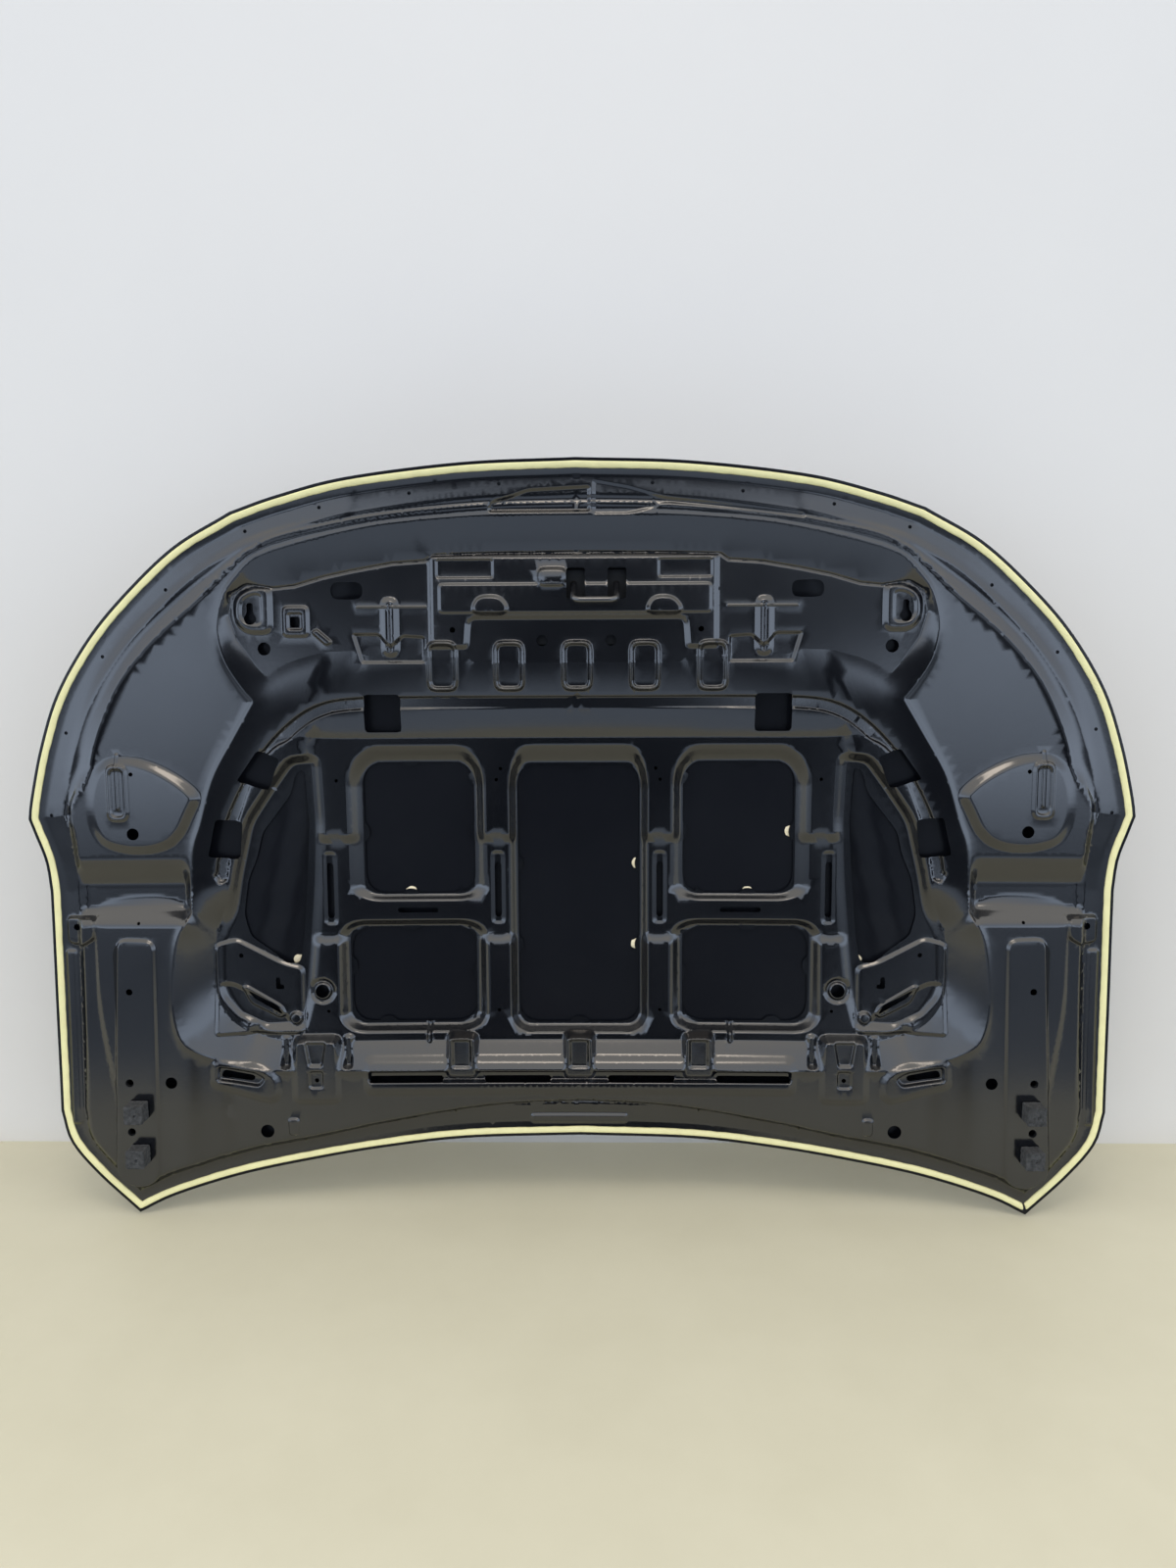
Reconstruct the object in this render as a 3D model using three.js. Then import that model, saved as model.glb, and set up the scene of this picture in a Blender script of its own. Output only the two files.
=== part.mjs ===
import * as THREE from "three";

// A bonnet is two pressed steel sheets, hemmed together around the edge and glued at the windows.
// It is drawn as seen from the engine side: x across, y from the hinges up to the nose,
// z from the outer skin towards the viewer. The last lines stand it up on its hinge end.

// Sheets, hem and adhesive
const skinThickness = 0.75;
const innerThickness = 0.7;
const plateThickness = 1.2;
const clearance = 0.3;
const hemWidth = 10.5;
const flangeWidth = 13;
const sealerWidth = 10;
const sealerInset = 3;
const sealerHeight = 1.5;
const masticRadius = 9;
const masticClearance = 0.7;

// Outline of the outer skin
const noseY = 1007;
const noseCornerX = 440;
const noseCornerDrop = 64;
const widestX = 725;
const widestY = 548;
const sideX = 703;
const hingeCornerX = 601;
const hingeCornerY = 6;
const tailY = 103;

// Crown of the outer skin
const sideRise = 40;
const saddleY = 380;
const noseRise = 50;
const noseCurl = 12;
const curlStartY = 880;
const tailRise = 14;
const featureLineX = 363;
const featureLineY = 605;
const featureLineLean = 0.228;
const featureLineWidth = 16;
const centreDrop = 7;

// Band between the hem and the step up to the beams
const noseBandWidth = 43;
const sideBandWidth = 32;
const tailBandWidth = 49;
const cornerBandWidth = 22;
const cornerBandReach = 130;
const sideBandY = 400;
const bandFadeLength = 150;
const bandMiddleReach = 400;

// Heights of the inner panel: beams by their own crown, the rest above the skin
const bandLift = 8;
const stepLift = 10;
const crestHeight = 30;
const crestSideRise = 22;
const crestNoseRise = 28;
const ridgeRise = 1.5;
const plateauHeight = 41;
const plateauSideRise = 14;
const ribLift = 18;
const pocketLift = 4.2;

// Ribs, bars and windows
const midRibX = 115;
const outerRibTopX = 329;
const outerRibTailX = 349;
const ribWidth = 27;
const barY = 420;
const barWidth = 28;
const pocketTopMargin = 12;
const pocketTailY = 248;
const pocketWallRun = 9;
const pocketNoseRun = 20;
const windowMargin = 5;
const windowCorner = 10;
const centreWindowCorner = 20;
const tabDepth = 6;
const tabWidth = 20;
const lowerRibFlare = 7;
const ribSlotWidth = 9;
const ribSlotLength = 76;
const ribRecessWidth = 17;
const ribRecessLength = 100;
const ribRecessDepth = 4;
const ribRecessY = 446;

// Beams and their openings
const bowlFromNose = 355;
const bowlTailY = 238;
const beamEdgeY = 204;
const ledgeFromBowl = 48;
const ledgeWidth = 11;
const ledgeHalfLength = 223;
const ledgeDrop = 3;
const wallOpeningGap = 16;
const wallOpeningDrop = 16;
const wallOpeningWidth = 44;
const wallOpeningLength = 48;
const tailSlotLength = 88;
const tailSlotWidth = 8;
const tailSlotY = 190;
const tailChannelWidth = 18;
const tailChannelHalfLength = 286;
const tailChannelDepth = 5;

// Hinge pads, with the foam blocks that stand on them
const hingePadX = 598;
const hingePadHeight = 54;
const hingePadNoseY = 388;
const hingePadTailY = 62;
const hingePadHalfWidth = 24;
const hingePadCorner = 22;
const hingeTowerRun = 9;
const hingeStudHoleY = [192, 124];
const hingeStudHoleRadius = 5.5;
const hingeDatumHoleY = 317;
const foamBlockSize = 32;
const foamBlockHeight = 30;
const foamBlockY = [160, 99];
const weldNutRadius = 9;
const weldNutHeight = 6.5;

// Buffer pads and the striker
const bufferX = 421;
const bufferFromNose = 193;
const bufferPadWidth = 36;
const bufferPadLength = 42;
const bufferPadRise = 5;
const strikerRod = 8;
const strikerWidth = 55;
const strikerX = 24;
const strikerFromNose = 155;
const strikerReach = 42;
const strikerTilt = 0.56;
const latchHoleWidth = 24;
const latchHoleLength = 40;
const latchPlateWidth = 250;
const latchPlateLength = 96;
const latchPlateDrop = 30;
const latchPocketDepth = 9;
const latchPocketHalfWidth = 186;
const latchPocketNoseGap = 9;
const latchPocketLegY = 112;
const doorPanelHalfWidth = 132;
const doorPanelLength = 42;
const doorPanelRise = 3;
const domeX = 112;
const domeRadius = 20;
const drainFormPitch = 88;
const drainFormWidth = 40;
const drainFormLength = 34;
const obroundX = 297;
const obroundWidth = 40;
const obroundLength = 19;

// Lines that follow the nose
const noseCornerY = noseY - noseCornerDrop;
const bowlNoseY = noseY - bowlFromNose;
const pocketTopY = bowlNoseY - pocketTopMargin;
const ledgeY = bowlNoseY + ledgeFromBowl;
const bufferY = noseY - bufferFromNose;
const strikerY = noseY - strikerFromNose;
const beamNoseY = noseY - 116;
const beamBackY = noseY - 256;

// Small helpers on flat outlines: lists of [x, y], counter-clockwise
const smoothStep = (t) => {
  const s = Math.min(1, Math.max(0, t));
  return s * s * (3 - 2 * s);
};

function spline(points, count) {
  const curve = new THREE.SplineCurve(points.map(([x, y]) => new THREE.Vector2(x, y)));
  return curve.getSpacedPoints(count).map((p) => [p.x, p.y]);
}

function chain(...pieces) {
  return pieces.flatMap((piece, i) => (i < pieces.length - 1 ? piece.slice(0, -1) : piece));
}

// A half outline runs down the right side from x = 0 at the nose to x = 0 at the tail
function mirrored(half) {
  const left = half.slice(1, -1).map(([x, y]) => [-x, y]);
  return facingUp([...half, ...left.reverse()]);
}

function signedArea(outline) {
  return outline.reduce((sum, [x, y], i) => {
    const [nextX, nextY] = outline[(i + 1) % outline.length];
    return sum + (x * nextY - nextX * y) / 2;
  }, 0);
}

function facingUp(outline) {
  return signedArea(outline) < 0 ? [...outline].reverse() : outline;
}

function inset(outline, distance) {
  const count = outline.length;
  const depth = typeof distance === "function" ? distance : () => distance;
  return outline.map(([x, y], i) => {
    const before = outline[(i + count - 1) % count];
    const after = outline[(i + 1) % count];
    const a = new THREE.Vector2(x - before[0], y - before[1]).normalize();
    const b = new THREE.Vector2(after[0] - x, after[1] - y).normalize();
    const normal = new THREE.Vector2(-a.y - b.y, a.x + b.x).normalize();
    const reach = depth(x, y) / Math.max(0.6, normal.dot(new THREE.Vector2(-a.y, a.x)));
    return [x + normal.x * reach, y + normal.y * reach];
  });
}

function onSide(side, outline) {
  return facingUp(outline.map(([x, y]) => [side * x, y]));
}

function circle(x, y, radius, sides = 10) {
  return Array.from({ length: sides }, (_, i) => {
    const angle = (i / sides) * 2 * Math.PI;
    return [x + radius * Math.cos(angle), y + radius * Math.sin(angle)];
  });
}

function roundedBox(left, right, bottom, top, radius, steps = 2) {
  const corners = [
    [right - radius, top - radius, 0],
    [left + radius, top - radius, 1],
    [left + radius, bottom + radius, 2],
    [right - radius, bottom + radius, 3],
  ];
  return corners.flatMap(([x, y, quarter]) =>
    Array.from({ length: steps + 1 }, (_, i) => {
      const angle = ((quarter + i / steps) * Math.PI) / 2;
      return [x + radius * Math.cos(angle), y + radius * Math.sin(angle)];
    }),
  );
}

function boxAt(x, y, width, length, radius, steps = 2) {
  return roundedBox(x - width / 2, x + width / 2, y - length / 2, y + length / 2, radius, steps);
}

// The place across the panel where an outline of the right side passes a height y
function edgeAt(outline, y) {
  for (let i = 0; i + 1 < outline.length; i += 1) {
    const [x0, y0] = outline[i];
    const [x1, y1] = outline[i + 1];
    if ((y0 - y) * (y1 - y) <= 0 && y0 !== y1) return x0 + ((x1 - x0) * (y - y0)) / (y1 - y0);
  }
  return outline[0][0];
}

// Levels: height z of a surface at a place [x, y]
const featureLine = (y) => featureLineX + featureLineLean * (featureLineY - y);

function skinCrown(x, y) {
  const across = sideRise * (x / widestX) ** 2;
  const toNose = Math.max(0, y - saddleY) / (noseY - saddleY);
  const toTail = Math.max(0, saddleY - y) / saddleY;
  const curl = Math.max(0, y - curlStartY) / (noseY - curlStartY);
  return across + noseRise * toNose ** 2.2 + tailRise * toTail ** 2 + noseCurl * curl ** 2;
}

function skinLevel(x, y) {
  const middle = 1 - smoothStep((Math.abs(x) - featureLine(y)) / featureLineWidth + 0.5);
  const fade = smoothStep((noseY - 20 - y) / 200) * smoothStep((y - tailY) / 100);
  return skinCrown(x, y) - centreDrop * middle * fade;
}

function crestLevel(x, y) {
  const toNose = Math.max(0, y - 300) / 700;
  return crestHeight + crestSideRise * (x / widestX) ** 2 + crestNoseRise * toNose ** 2.2;
}

const aboveSkin = (lift) => (x, y) => skinLevel(x, y) + lift;
const aboveCrest = (rise) => (x, y) => crestLevel(x, y) + rise;
const ribLevel = aboveSkin(ribLift);
const pocketLevel = aboveSkin(pocketLift);
const sidePocketLevel = (x, y) => skinCrown(x, y) + pocketLift;
const plateauLevel = (x) => plateauHeight + plateauSideRise * (x / widestX) ** 2;
const shifted = (level, rise) => (x, y) => level(x, y) + rise;

// Main outlines, right half. Flank and bowl side places are shares of the way between two named lines.
const flankY = (share) => THREE.MathUtils.lerp(widestY, noseCornerY, share);
const flankX = (share) => THREE.MathUtils.lerp(noseCornerX, widestX, share);
const bowlY = (share) => THREE.MathUtils.lerp(barY, bowlNoseY, share);
const trimHalf = chain(
  spline([[0, noseY], [142, noseY - 5], [289, noseY - 22], [380, noseY - 44], [noseCornerX, noseCornerY]], 8),
  spline(
    [
      [noseCornerX, noseCornerY], [flankX(0.26), flankY(0.894)], [flankX(0.488), flankY(0.749)],
      [flankX(0.674), flankY(0.6)], [flankX(0.832), flankY(0.42)], [flankX(0.926), flankY(0.238)],
      [flankX(0.986), flankY(0.066)], [widestX, widestY],
    ],
    11,
  ),
  spline([[widestX, widestY], [widestX - 7, widestY - 22], [sideX + 4, widestY - 58], [sideX, widestY - 98]], 4),
  spline([[sideX, widestY - 98], [sideX + 0.5, 300], [sideX - 1, 150]], 4),
  spline([[sideX - 1, 150], [sideX - 13, 106], [sideX - 48, 60], [hingeCornerX, hingeCornerY]], 5),
  spline(
    [
      [hingeCornerX, hingeCornerY], [552, hingeCornerY + 22], [461, tailY - 49], [355, tailY - 29],
      [262, tailY - 15], [155, tailY - 4], [0, tailY],
    ],
    9,
  ),
);
// The band between the hem and the step is widest at the nose and narrowest beside the hinges
function bandWidth(x, y) {
  const nose = smoothStep((y - sideBandY) / bandFadeLength);
  const tailMiddle = smoothStep(1 - Math.abs(x) / bandMiddleReach) * (1 - nose);
  const corner = smoothStep(1 - Math.hypot(Math.abs(x) - hingeCornerX, y - hingeCornerY) / cornerBandReach);
  const width = THREE.MathUtils.lerp(sideBandWidth, noseBandWidth, nose);
  return width + (tailBandWidth - sideBandWidth) * tailMiddle + (cornerBandWidth - sideBandWidth) * corner;
}
const basinHalf = chain(
  spline([[0, noseY - 70], [119, noseY - 71], [243, noseY - 81], [331, noseY - 98], [387, noseY - 113]], 6),
  spline(
    [
      [387, noseY - 113], [440, noseY - 150], [465, noseY - 193], [468, noseY - 218], [455, noseY - 268],
      [423, bowlNoseY + 45],
    ],
    8,
  ),
  spline([[423, bowlNoseY + 45], [466, bowlY(0.897)], [497, bowlY(0.522)], [509, bowlY(0.353)], [514, barY + 3]], 6),
  spline([[514, barY + 3], [538, 377], [543, 277], [533, 253], [512, 235], [467, 216], [422, beamEdgeY]], 8),
  [[422, beamEdgeY], [297, beamEdgeY - 2], [150, beamEdgeY], [0, beamEdgeY]],
);
const bowlHalf = chain(
  [[0, bowlNoseY], [160, bowlNoseY], [318, bowlNoseY], [365, bowlNoseY + 6]],
  spline(
    [[365, bowlNoseY + 6], [400, bowlY(0.948)], [424, bowlY(0.81)], [444, bowlY(0.603)], [460, bowlY(0.379)],
      [476, barY + 12]],
    6,
  ),
  spline([[476, barY + 12], [500, 392], [511, 330], [504, 288], [482, 262], [440, 244], [390, bowlTailY]], 6),
  [[390, bowlTailY], [250, bowlTailY], [120, bowlTailY], [0, bowlTailY]],
);
const plateauHalf = [
  [0, beamNoseY], [113, beamNoseY - 3], [195, beamNoseY - 6], [199, beamNoseY - 15], [308, beamNoseY - 27],
  [380, beamNoseY - 45], [424, beamNoseY - 43], [444, beamNoseY - 53], [448, beamNoseY - 79],
  [440, beamNoseY - 109], [418, beamBackY - 13], [408, beamBackY - 18], [387, beamBackY - 2],
  [361, beamBackY + 8], [296, beamBackY + 15], [276, beamBackY + 8], [204, beamBackY + 7],
  [134, beamBackY], [0, beamBackY],
];
const sideFloor = [
  [359, bowlY(0.871)], [378, bowlY(0.871)], [400, bowlY(0.763)], [426, bowlY(0.565)], [445, bowlY(0.336)],
  [460, barY - 2], [479, 385], [484, 324], [471, 300], [452, 277], [419, 262], [384, 260], [375, 300],
  [367, 370], [359, bowlY(0.172)], [353, bowlY(0.517)],
];
const sideWindow = [
  [364, bowlY(0.828)], [380, bowlY(0.828)], [397, bowlY(0.703)], [411, bowlY(0.59)], [427, bowlY(0.478)],
  [442, bowlY(0.276)], [454, barY - 9], [443, 380], [411, 349], [380, 345], [374, 380],
  [366, bowlY(0.172)], [359, bowlY(0.517)],
];

// The wall of the bowl, from the beams down to the ribs
function wallLevel(x, y) {
  const across = Math.abs(x);
  if (y > bowlNoseY && across < 420) {
    const t = (y - bowlNoseY) / (beamBackY - bowlNoseY);
    return THREE.MathUtils.lerp(ribLevel(x, bowlNoseY), plateauLevel(x), Math.min(1, t));
  }
  if (y < bowlTailY + 4) {
    const t = (bowlTailY - y) / (bowlTailY - beamEdgeY);
    return THREE.MathUtils.lerp(ribLevel(x, bowlTailY), crestLevel(x, beamEdgeY), Math.min(1, Math.max(0, t)));
  }
  const top = edgeAt(basinHalf.slice(14), y);
  const foot = edgeAt(sideFloor, y);
  const t = (across - foot) / Math.max(1, top - foot);
  return THREE.MathUtils.lerp(sidePocketLevel(foot, y), crestLevel(top, y), Math.min(1, Math.max(0, t)));
}

// A sheet is drawn as rings of points joined by strips and filled areas, and is then given its thickness
class Sheet {
  points = [];
  faces = [];

  // Points are nudged by up to a micron, so that no three of a straight edge are in line
  ring(outline, level) {
    return outline.map(([x, y]) => {
      const nudge = 0.001 * Math.sin(2.4 * this.points.length);
      return this.points.push([x + nudge, y - nudge, level(x, y)]) - 1;
    });
  }

  face(a, b, c) {
    const [p, q, r] = [a, b, c].map((i) => this.points[i]);
    const turn = (q[0] - p[0]) * (r[1] - p[1]) - (q[1] - p[1]) * (r[0] - p[0]);
    this.faces.push(turn > 0 ? [a, b, c] : [a, c, b]);
  }

  strip(outer, inner) {
    outer.forEach((a, i) => {
      const next = (i + 1) % outer.length;
      this.face(a, outer[next], inner[next]);
      this.face(a, inner[next], inner[i]);
    });
  }

  fill(outer, holes = [], level = null, seeds = []) {
    const seedRings = seeds.map((seed) => this.ring([seed], level));
    const flat = (loop) => loop.map((i) => new THREE.Vector2(this.points[i][0], this.points[i][1]));
    const rings = [...holes, ...seedRings];
    const order = [outer, ...rings].flat();
    const faces = THREE.ShapeUtils.triangulateShape(flat(outer), rings.map(flat));
    const corners = faces.map((face) => face.map((i) => order[i]));
    for (const [a, b, c] of this.evened(corners, [outer, ...holes])) this.face(a, b, c);
  }

  // Swaps the diagonal of each pair of triangles where that gives rounder triangles
  evened(faces, loops) {
    const name = (a, b) => (a < b ? `${a},${b}` : `${b},${a}`);
    const fixed = new Set(loops.flatMap((loop) => loop.map((a, i) => name(a, loop[(i + 1) % loop.length]))));
    for (let pass = 0; pass < 40; pass += 1) {
      const sides = new Map();
      faces.forEach((face, f) => {
        face.forEach((a, i) => {
          const key = name(a, face[(i + 1) % 3]);
          sides.set(key, [...(sides.get(key) ?? []), f]);
        });
      });
      const touched = new Set();
      for (const [key, pair] of sides) {
        if (pair.length !== 2 || fixed.has(key) || pair.some((f) => touched.has(f))) continue;
        const [a, b] = key.split(",").map(Number);
        const [c, d] = pair.map((f) => faces[f].find((i) => i !== a && i !== b));
        if (!this.swapHelps(a, b, c, d)) continue;
        faces[pair[0]] = [a, d, c];
        faces[pair[1]] = [b, c, d];
        pair.forEach((f) => touched.add(f));
      }
      if (!touched.size) break;
    }
    return faces;
  }

  swapHelps(a, b, c, d) {
    const [p, q, r, s] = [a, b, c, d].map((i) => new THREE.Vector2(this.points[i][0], this.points[i][1]));
    const turn = (u, v, w) => (v.x - u.x) * (w.y - u.y) - (v.y - u.y) * (w.x - u.x);
    const crossing = turn(r, s, p) * turn(r, s, q) < -1e-6 && turn(p, q, r) * turn(p, q, s) < -1e-6;
    const angle = (at, u, v) => {
      const first = u.clone().sub(at);
      const second = v.clone().sub(at);
      return Math.abs(first.angleTo(second));
    };
    return crossing && angle(r, p, q) + angle(s, p, q) > Math.PI + 1e-6;
  }

  // Closes the drawn side, the same side lowered by the thickness, and the cut edges between them
  solid(thickness) {
    const count = this.points.length;
    const position = [...this.points, ...this.points.map(([x, y, z]) => [x, y, z - thickness])].flat();
    const faces = [...this.faces, ...this.faces.map(([a, b, c]) => [a + count, c + count, b + count])];
    const edges = new Set(this.faces.flatMap(([a, b, c]) => [`${a},${b}`, `${b},${c}`, `${c},${a}`]));
    for (const edge of edges) {
      const [a, b] = edge.split(",").map(Number);
      if (edges.has(`${b},${a}`)) continue;
      faces.push([b, a, a + count], [b, a + count, b + count]);
    }
    return closedGeometry(position, faces);
  }
}

function closedGeometry(position, faces) {
  const geometry = new THREE.BufferGeometry();
  geometry.setAttribute("position", new THREE.Float32BufferAttribute(position, 3));
  geometry.setIndex(faces.flat());
  geometry.computeVertexNormals();
  return geometry;
}

// A pressed form inside an area: its foot on the area's level, its face on a level of its own.
// Cuts are holes through the face, and forms may stand on forms.
function press(sheet, form, level) {
  const foot = sheet.ring(form.outline, form.footLevel ?? level);
  const face = form.face ?? inset(form.outline, form.run);
  const faceLevel = form.level ?? shifted(level, form.rise);
  const top = sheet.ring(face, faceLevel);
  sheet.strip(foot, top);
  area(sheet, top, faceLevel, form);
  return foot;
}

function area(sheet, edge, level, { forms = [], cuts = [], rings = [], seeds = [] }) {
  const feet = forms.map((form) => press(sheet, form, level));
  const holes = cuts.map((cut) => sheet.ring(cut, level));
  sheet.fill(edge, [...rings, ...feet, ...holes], level, seeds);
}

// Painted steel and the soft materials
const paintedSteel = new THREE.MeshStandardMaterial({ color: 0x15181f, roughness: 0.35, metalness: 0.3 });
const paintedSkin = new THREE.MeshStandardMaterial({ color: 0x101217, roughness: 0.4, metalness: 0.3 });
const zincSteel = new THREE.MeshStandardMaterial({ color: 0x2a2c30, roughness: 0.45, metalness: 0.6 });
const paleSealer = new THREE.MeshStandardMaterial({ color: 0xdedaa0, roughness: 0.6, metalness: 0 });
const creamMastic = new THREE.MeshStandardMaterial({ color: 0xd8cfa8, roughness: 0.7, metalness: 0 });
const darkFoam = new THREE.MeshStandardMaterial({ color: 0x3a3b3d, roughness: 0.95, metalness: 0 });

const trim = mirrored(trimHalf);
const skinRowBow = 0.00006;
const skinRowPitch = 70;
const sides = [-1, 1];
const sideName = (side) => (side < 0 ? "left" : "right");

// Outer panel: the skin, with its edge folded back over the inner panel's flange
function outerPanel() {
  const gap = innerThickness + 2 * clearance;
  const fold = skinThickness * 0.5;
  const section = [
    [flangeWidth, -skinThickness],
    [fold, -skinThickness],
    [0, gap / 2],
    [fold, gap + skinThickness],
    [hemWidth, gap + skinThickness],
    [hemWidth, gap],
    [skinThickness, gap],
    [skinThickness, 0],
    [flangeWidth, 0],
  ];
  const sheet = new Sheet();
  const rings = section.map(([depth, rise]) => sheet.ring(inset(trim, depth), aboveSkin(rise)));
  const seeds = [];
  for (let y = tailY + 40; y < noseY; y += skinRowPitch) {
    const line = featureLine(y);
    const reach = edgeAt(trimHalf.slice(8), Math.min(y, noseCornerY - 5)) - 60;
    const marks = [0, line - featureLineWidth / 2, line + featureLineWidth / 2];
    for (let k = 1; k < 5; k += 1) marks.push(((line - featureLineWidth / 2) * k) / 5);
    for (let x = line + skinRowPitch; x < reach; x += skinRowPitch) marks.push(x);
    const limit = y > noseCornerY - 60 ? noseCornerX - 60 : reach;
    const row = marks.filter((x) => x < limit && y < noseY - 50);
    const bowed = (x) => y - skinRowBow * x ** 2;
    seeds.push(...row.map((x) => [x, bowed(x)]), ...row.filter((x) => x > 0).map((x) => [-x, bowed(x)]));
  }
  sheet.fill(rings.at(-1), [], skinLevel, seeds);
  const inside = sheet.faces;
  sheet.faces = [];
  sheet.fill(rings[0], [], aboveSkin(-skinThickness), seeds);
  const outside = sheet.faces.map(([a, b, c]) => [a, c, b]);
  const folds = rings.slice(1).flatMap((ring, k) =>
    ring.flatMap((c, i) => {
      const next = (i + 1) % ring.length;
      return [
        [rings[k][i], rings[k][next], ring[next]],
        [rings[k][i], ring[next], c],
      ];
    }),
  );
  return closedGeometry(sheet.points.flat(), [...inside, ...outside, ...folds]);
}

// Windows have small tabs on their edges, which the mastic holds to the skin
function windowWithTabs(left, right, bottom, top, radius, tabs) {
  const [leftTab, rightTab, bottomTab, topTab] = tabs;
  const half = tabWidth / 2;
  const round = roundedBox(left, right, bottom, top, radius);
  const steps = round.length / 4;
  const upright = (x, at, into) => [[x, at - half], [x + into, at - half + 3], [x + into, at + half - 3], [x, at + half]];
  const flat = (y, at, into) => [[at - half, y], [at - half + 3, y + into], [at + half - 3, y + into], [at + half, y]];
  return [
    ...round.slice(0, steps),
    ...flat(top, topTab, -tabDepth).reverse(),
    ...round.slice(steps, 2 * steps),
    ...leftTab.flatMap((y) => upright(left, y, tabDepth)).reverse(),
    ...round.slice(2 * steps, 3 * steps),
    ...flat(bottom, bottomTab, tabDepth),
    ...round.slice(3 * steps),
    ...rightTab.flatMap((y) => upright(right, y, -tabDepth)),
  ];
}

// A pocket between the ribs: a wall down to a narrow floor around its window
const pocketFloors = {
  upper: { left: midRibX + ribWidth / 2 + pocketWallRun, right: outerRibTopX - ribWidth / 2 - pocketWallRun,
    bottom: barY + barWidth / 2 + pocketWallRun, top: pocketTopY - pocketNoseRun, radius: windowCorner },
  lower: { left: midRibX + ribWidth / 2 + pocketWallRun, right: outerRibTailX - ribWidth / 2 - pocketWallRun - lowerRibFlare,
    bottom: pocketTailY + pocketWallRun, top: barY - barWidth / 2 - pocketWallRun, radius: windowCorner },
  centre: { left: -(midRibX - ribWidth / 2 - pocketWallRun), right: midRibX - ribWidth / 2 - pocketWallRun,
    bottom: pocketTailY + pocketWallRun, top: pocketTopY - pocketNoseRun, radius: centreWindowCorner },
};
const upperTabY = (barY + pocketTopY) / 2 - tabWidth * 0.3;
const windowTabs = {
  upper: [[upperTabY], [upperTabY], 225, 225],
  lower: [[330], [330], 262, 228],
  centre: [[368, 480], [368, 480], 0, 0],
};

function pocket(name) {
  const { left, right, bottom, top, radius } = pocketFloors[name];
  const face = roundedBox(left, right, bottom, top, radius + windowMargin);
  const noseRun = name === "lower" ? pocketWallRun : pocketNoseRun;
  const outline = roundedBox(
    left - pocketWallRun, right + pocketWallRun, bottom - pocketWallRun, top + noseRun, radius + windowMargin,
  );
  const m = windowMargin;
  const cut = windowWithTabs(left + m, right - m, bottom + m, top - m, radius, windowTabs[name]);
  return { outline, face, level: pocketLevel, cuts: [cut] };
}

const mirroredForm = (side, form) => ({
  ...form,
  outline: onSide(side, form.outline),
  face: form.face && onSide(side, form.face),
  cuts: form.cuts?.map((cut) => onSide(side, cut)),
});

const sidePocket = {
  outline: inset(facingUp(sideFloor), -9),
  footLevel: (x, y) => (Math.abs(x) > 372 ? wallLevel(x, y) : ribLevel(x, y)),
  face: facingUp(sideFloor),
  level: sidePocketLevel,
  cuts: [facingUp(sideWindow), boxAt(428, 309, 14, 14, 4, 1)],
};

const ribAt = (y) => THREE.MathUtils.lerp(outerRibTailX, outerRibTopX, smoothStep((y - 330) / 200));
const ribRecess = (x) => ({
  outline: boxAt(x, ribRecessY, ribRecessWidth, ribRecessLength, 5),
  run: 2.5,
  rise: -ribRecessDepth,
  cuts: [boxAt(x, ribRecessY, ribSlotWidth, ribSlotLength, 4)],
});

// Forms on the beams and wings
const wingPad = {
  outline: facingUp([
    [643, 587], [634, 606], [626, 625], [604, 633], [573, 631], [536, 616], [510, 595], [500, 577], [506, 556],
    [511, 534], [534, 514], [572, 506], [610, 509], [637, 525], [646, 548],
  ]),
  run: 10,
  rise: -8,
  cuts: [circle(592, 534, 7.5), circle(592, 600, 3, 6)],
};
const valley = {
  outline: facingUp([[642, 494], [528, 494], [520, 486], [521, 420], [532, 411], [638, 411], [646, 420], [646, 486]]),
  face: facingUp([[638, 486], [534, 486], [528, 481], [529, 446], [538, 440], [632, 440], [639, 446], [640, 481]]),
  rise: -15,
};
const hingePadFace = roundedBox(
  hingePadX - hingePadHalfWidth, hingePadX + hingePadHalfWidth, hingePadTailY, hingePadNoseY, hingePadCorner, 4,
);
const hingeTower = {
  outline: inset(hingePadFace, -hingeTowerRun),
  face: hingePadFace,
  level: () => hingePadHeight,
  cuts: [
    ...hingeStudHoleY.map((y) => circle(hingePadX + 5, y, hingeStudHoleRadius, 12)),
    circle(hingePadX, hingeDatumHoleY, 4.5),
  ],
};
function keyhole(x, y, radius, slotWidth, slotLength) {
  const start = Math.asin(slotWidth / 2 / radius);
  const round = Array.from({ length: 9 }, (_, i) => {
    const angle = Math.PI / 2 + start + (i / 8) * (2 * Math.PI - 2 * start);
    return [x + radius * Math.cos(angle), y + radius * Math.sin(angle)];
  });
  return [...round, [x + slotWidth / 2, y + slotLength], [x - slotWidth / 2, y + slotLength]];
}
const bufferPad = {
  outline: boxAt(bufferX, bufferY, bufferPadWidth, bufferPadLength, 8),
  run: 4,
  level: () => plateauLevel(bufferX) + bufferPadRise,
  cuts: [keyhole(bufferX, bufferY - 3, 8, 7, 16)],
};
const wallOpening = boxAt(
  ledgeHalfLength + wallOpeningGap + wallOpeningWidth / 2, ledgeY - wallOpeningDrop, wallOpeningWidth,
  wallOpeningLength, 4, 1,
);
const sideOpenings = [
  [[438, bowlY(0.94)], [428, bowlY(0.905)], [435, bowlY(0.784)], [457, bowlY(0.806)]],
  [[489, bowlY(0.534)], [465, bowlY(0.522)], [471, bowlY(0.336)], [498, bowlY(0.345)]],
];
const tailSlotXs = [-234, -89, 89, 234];
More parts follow.
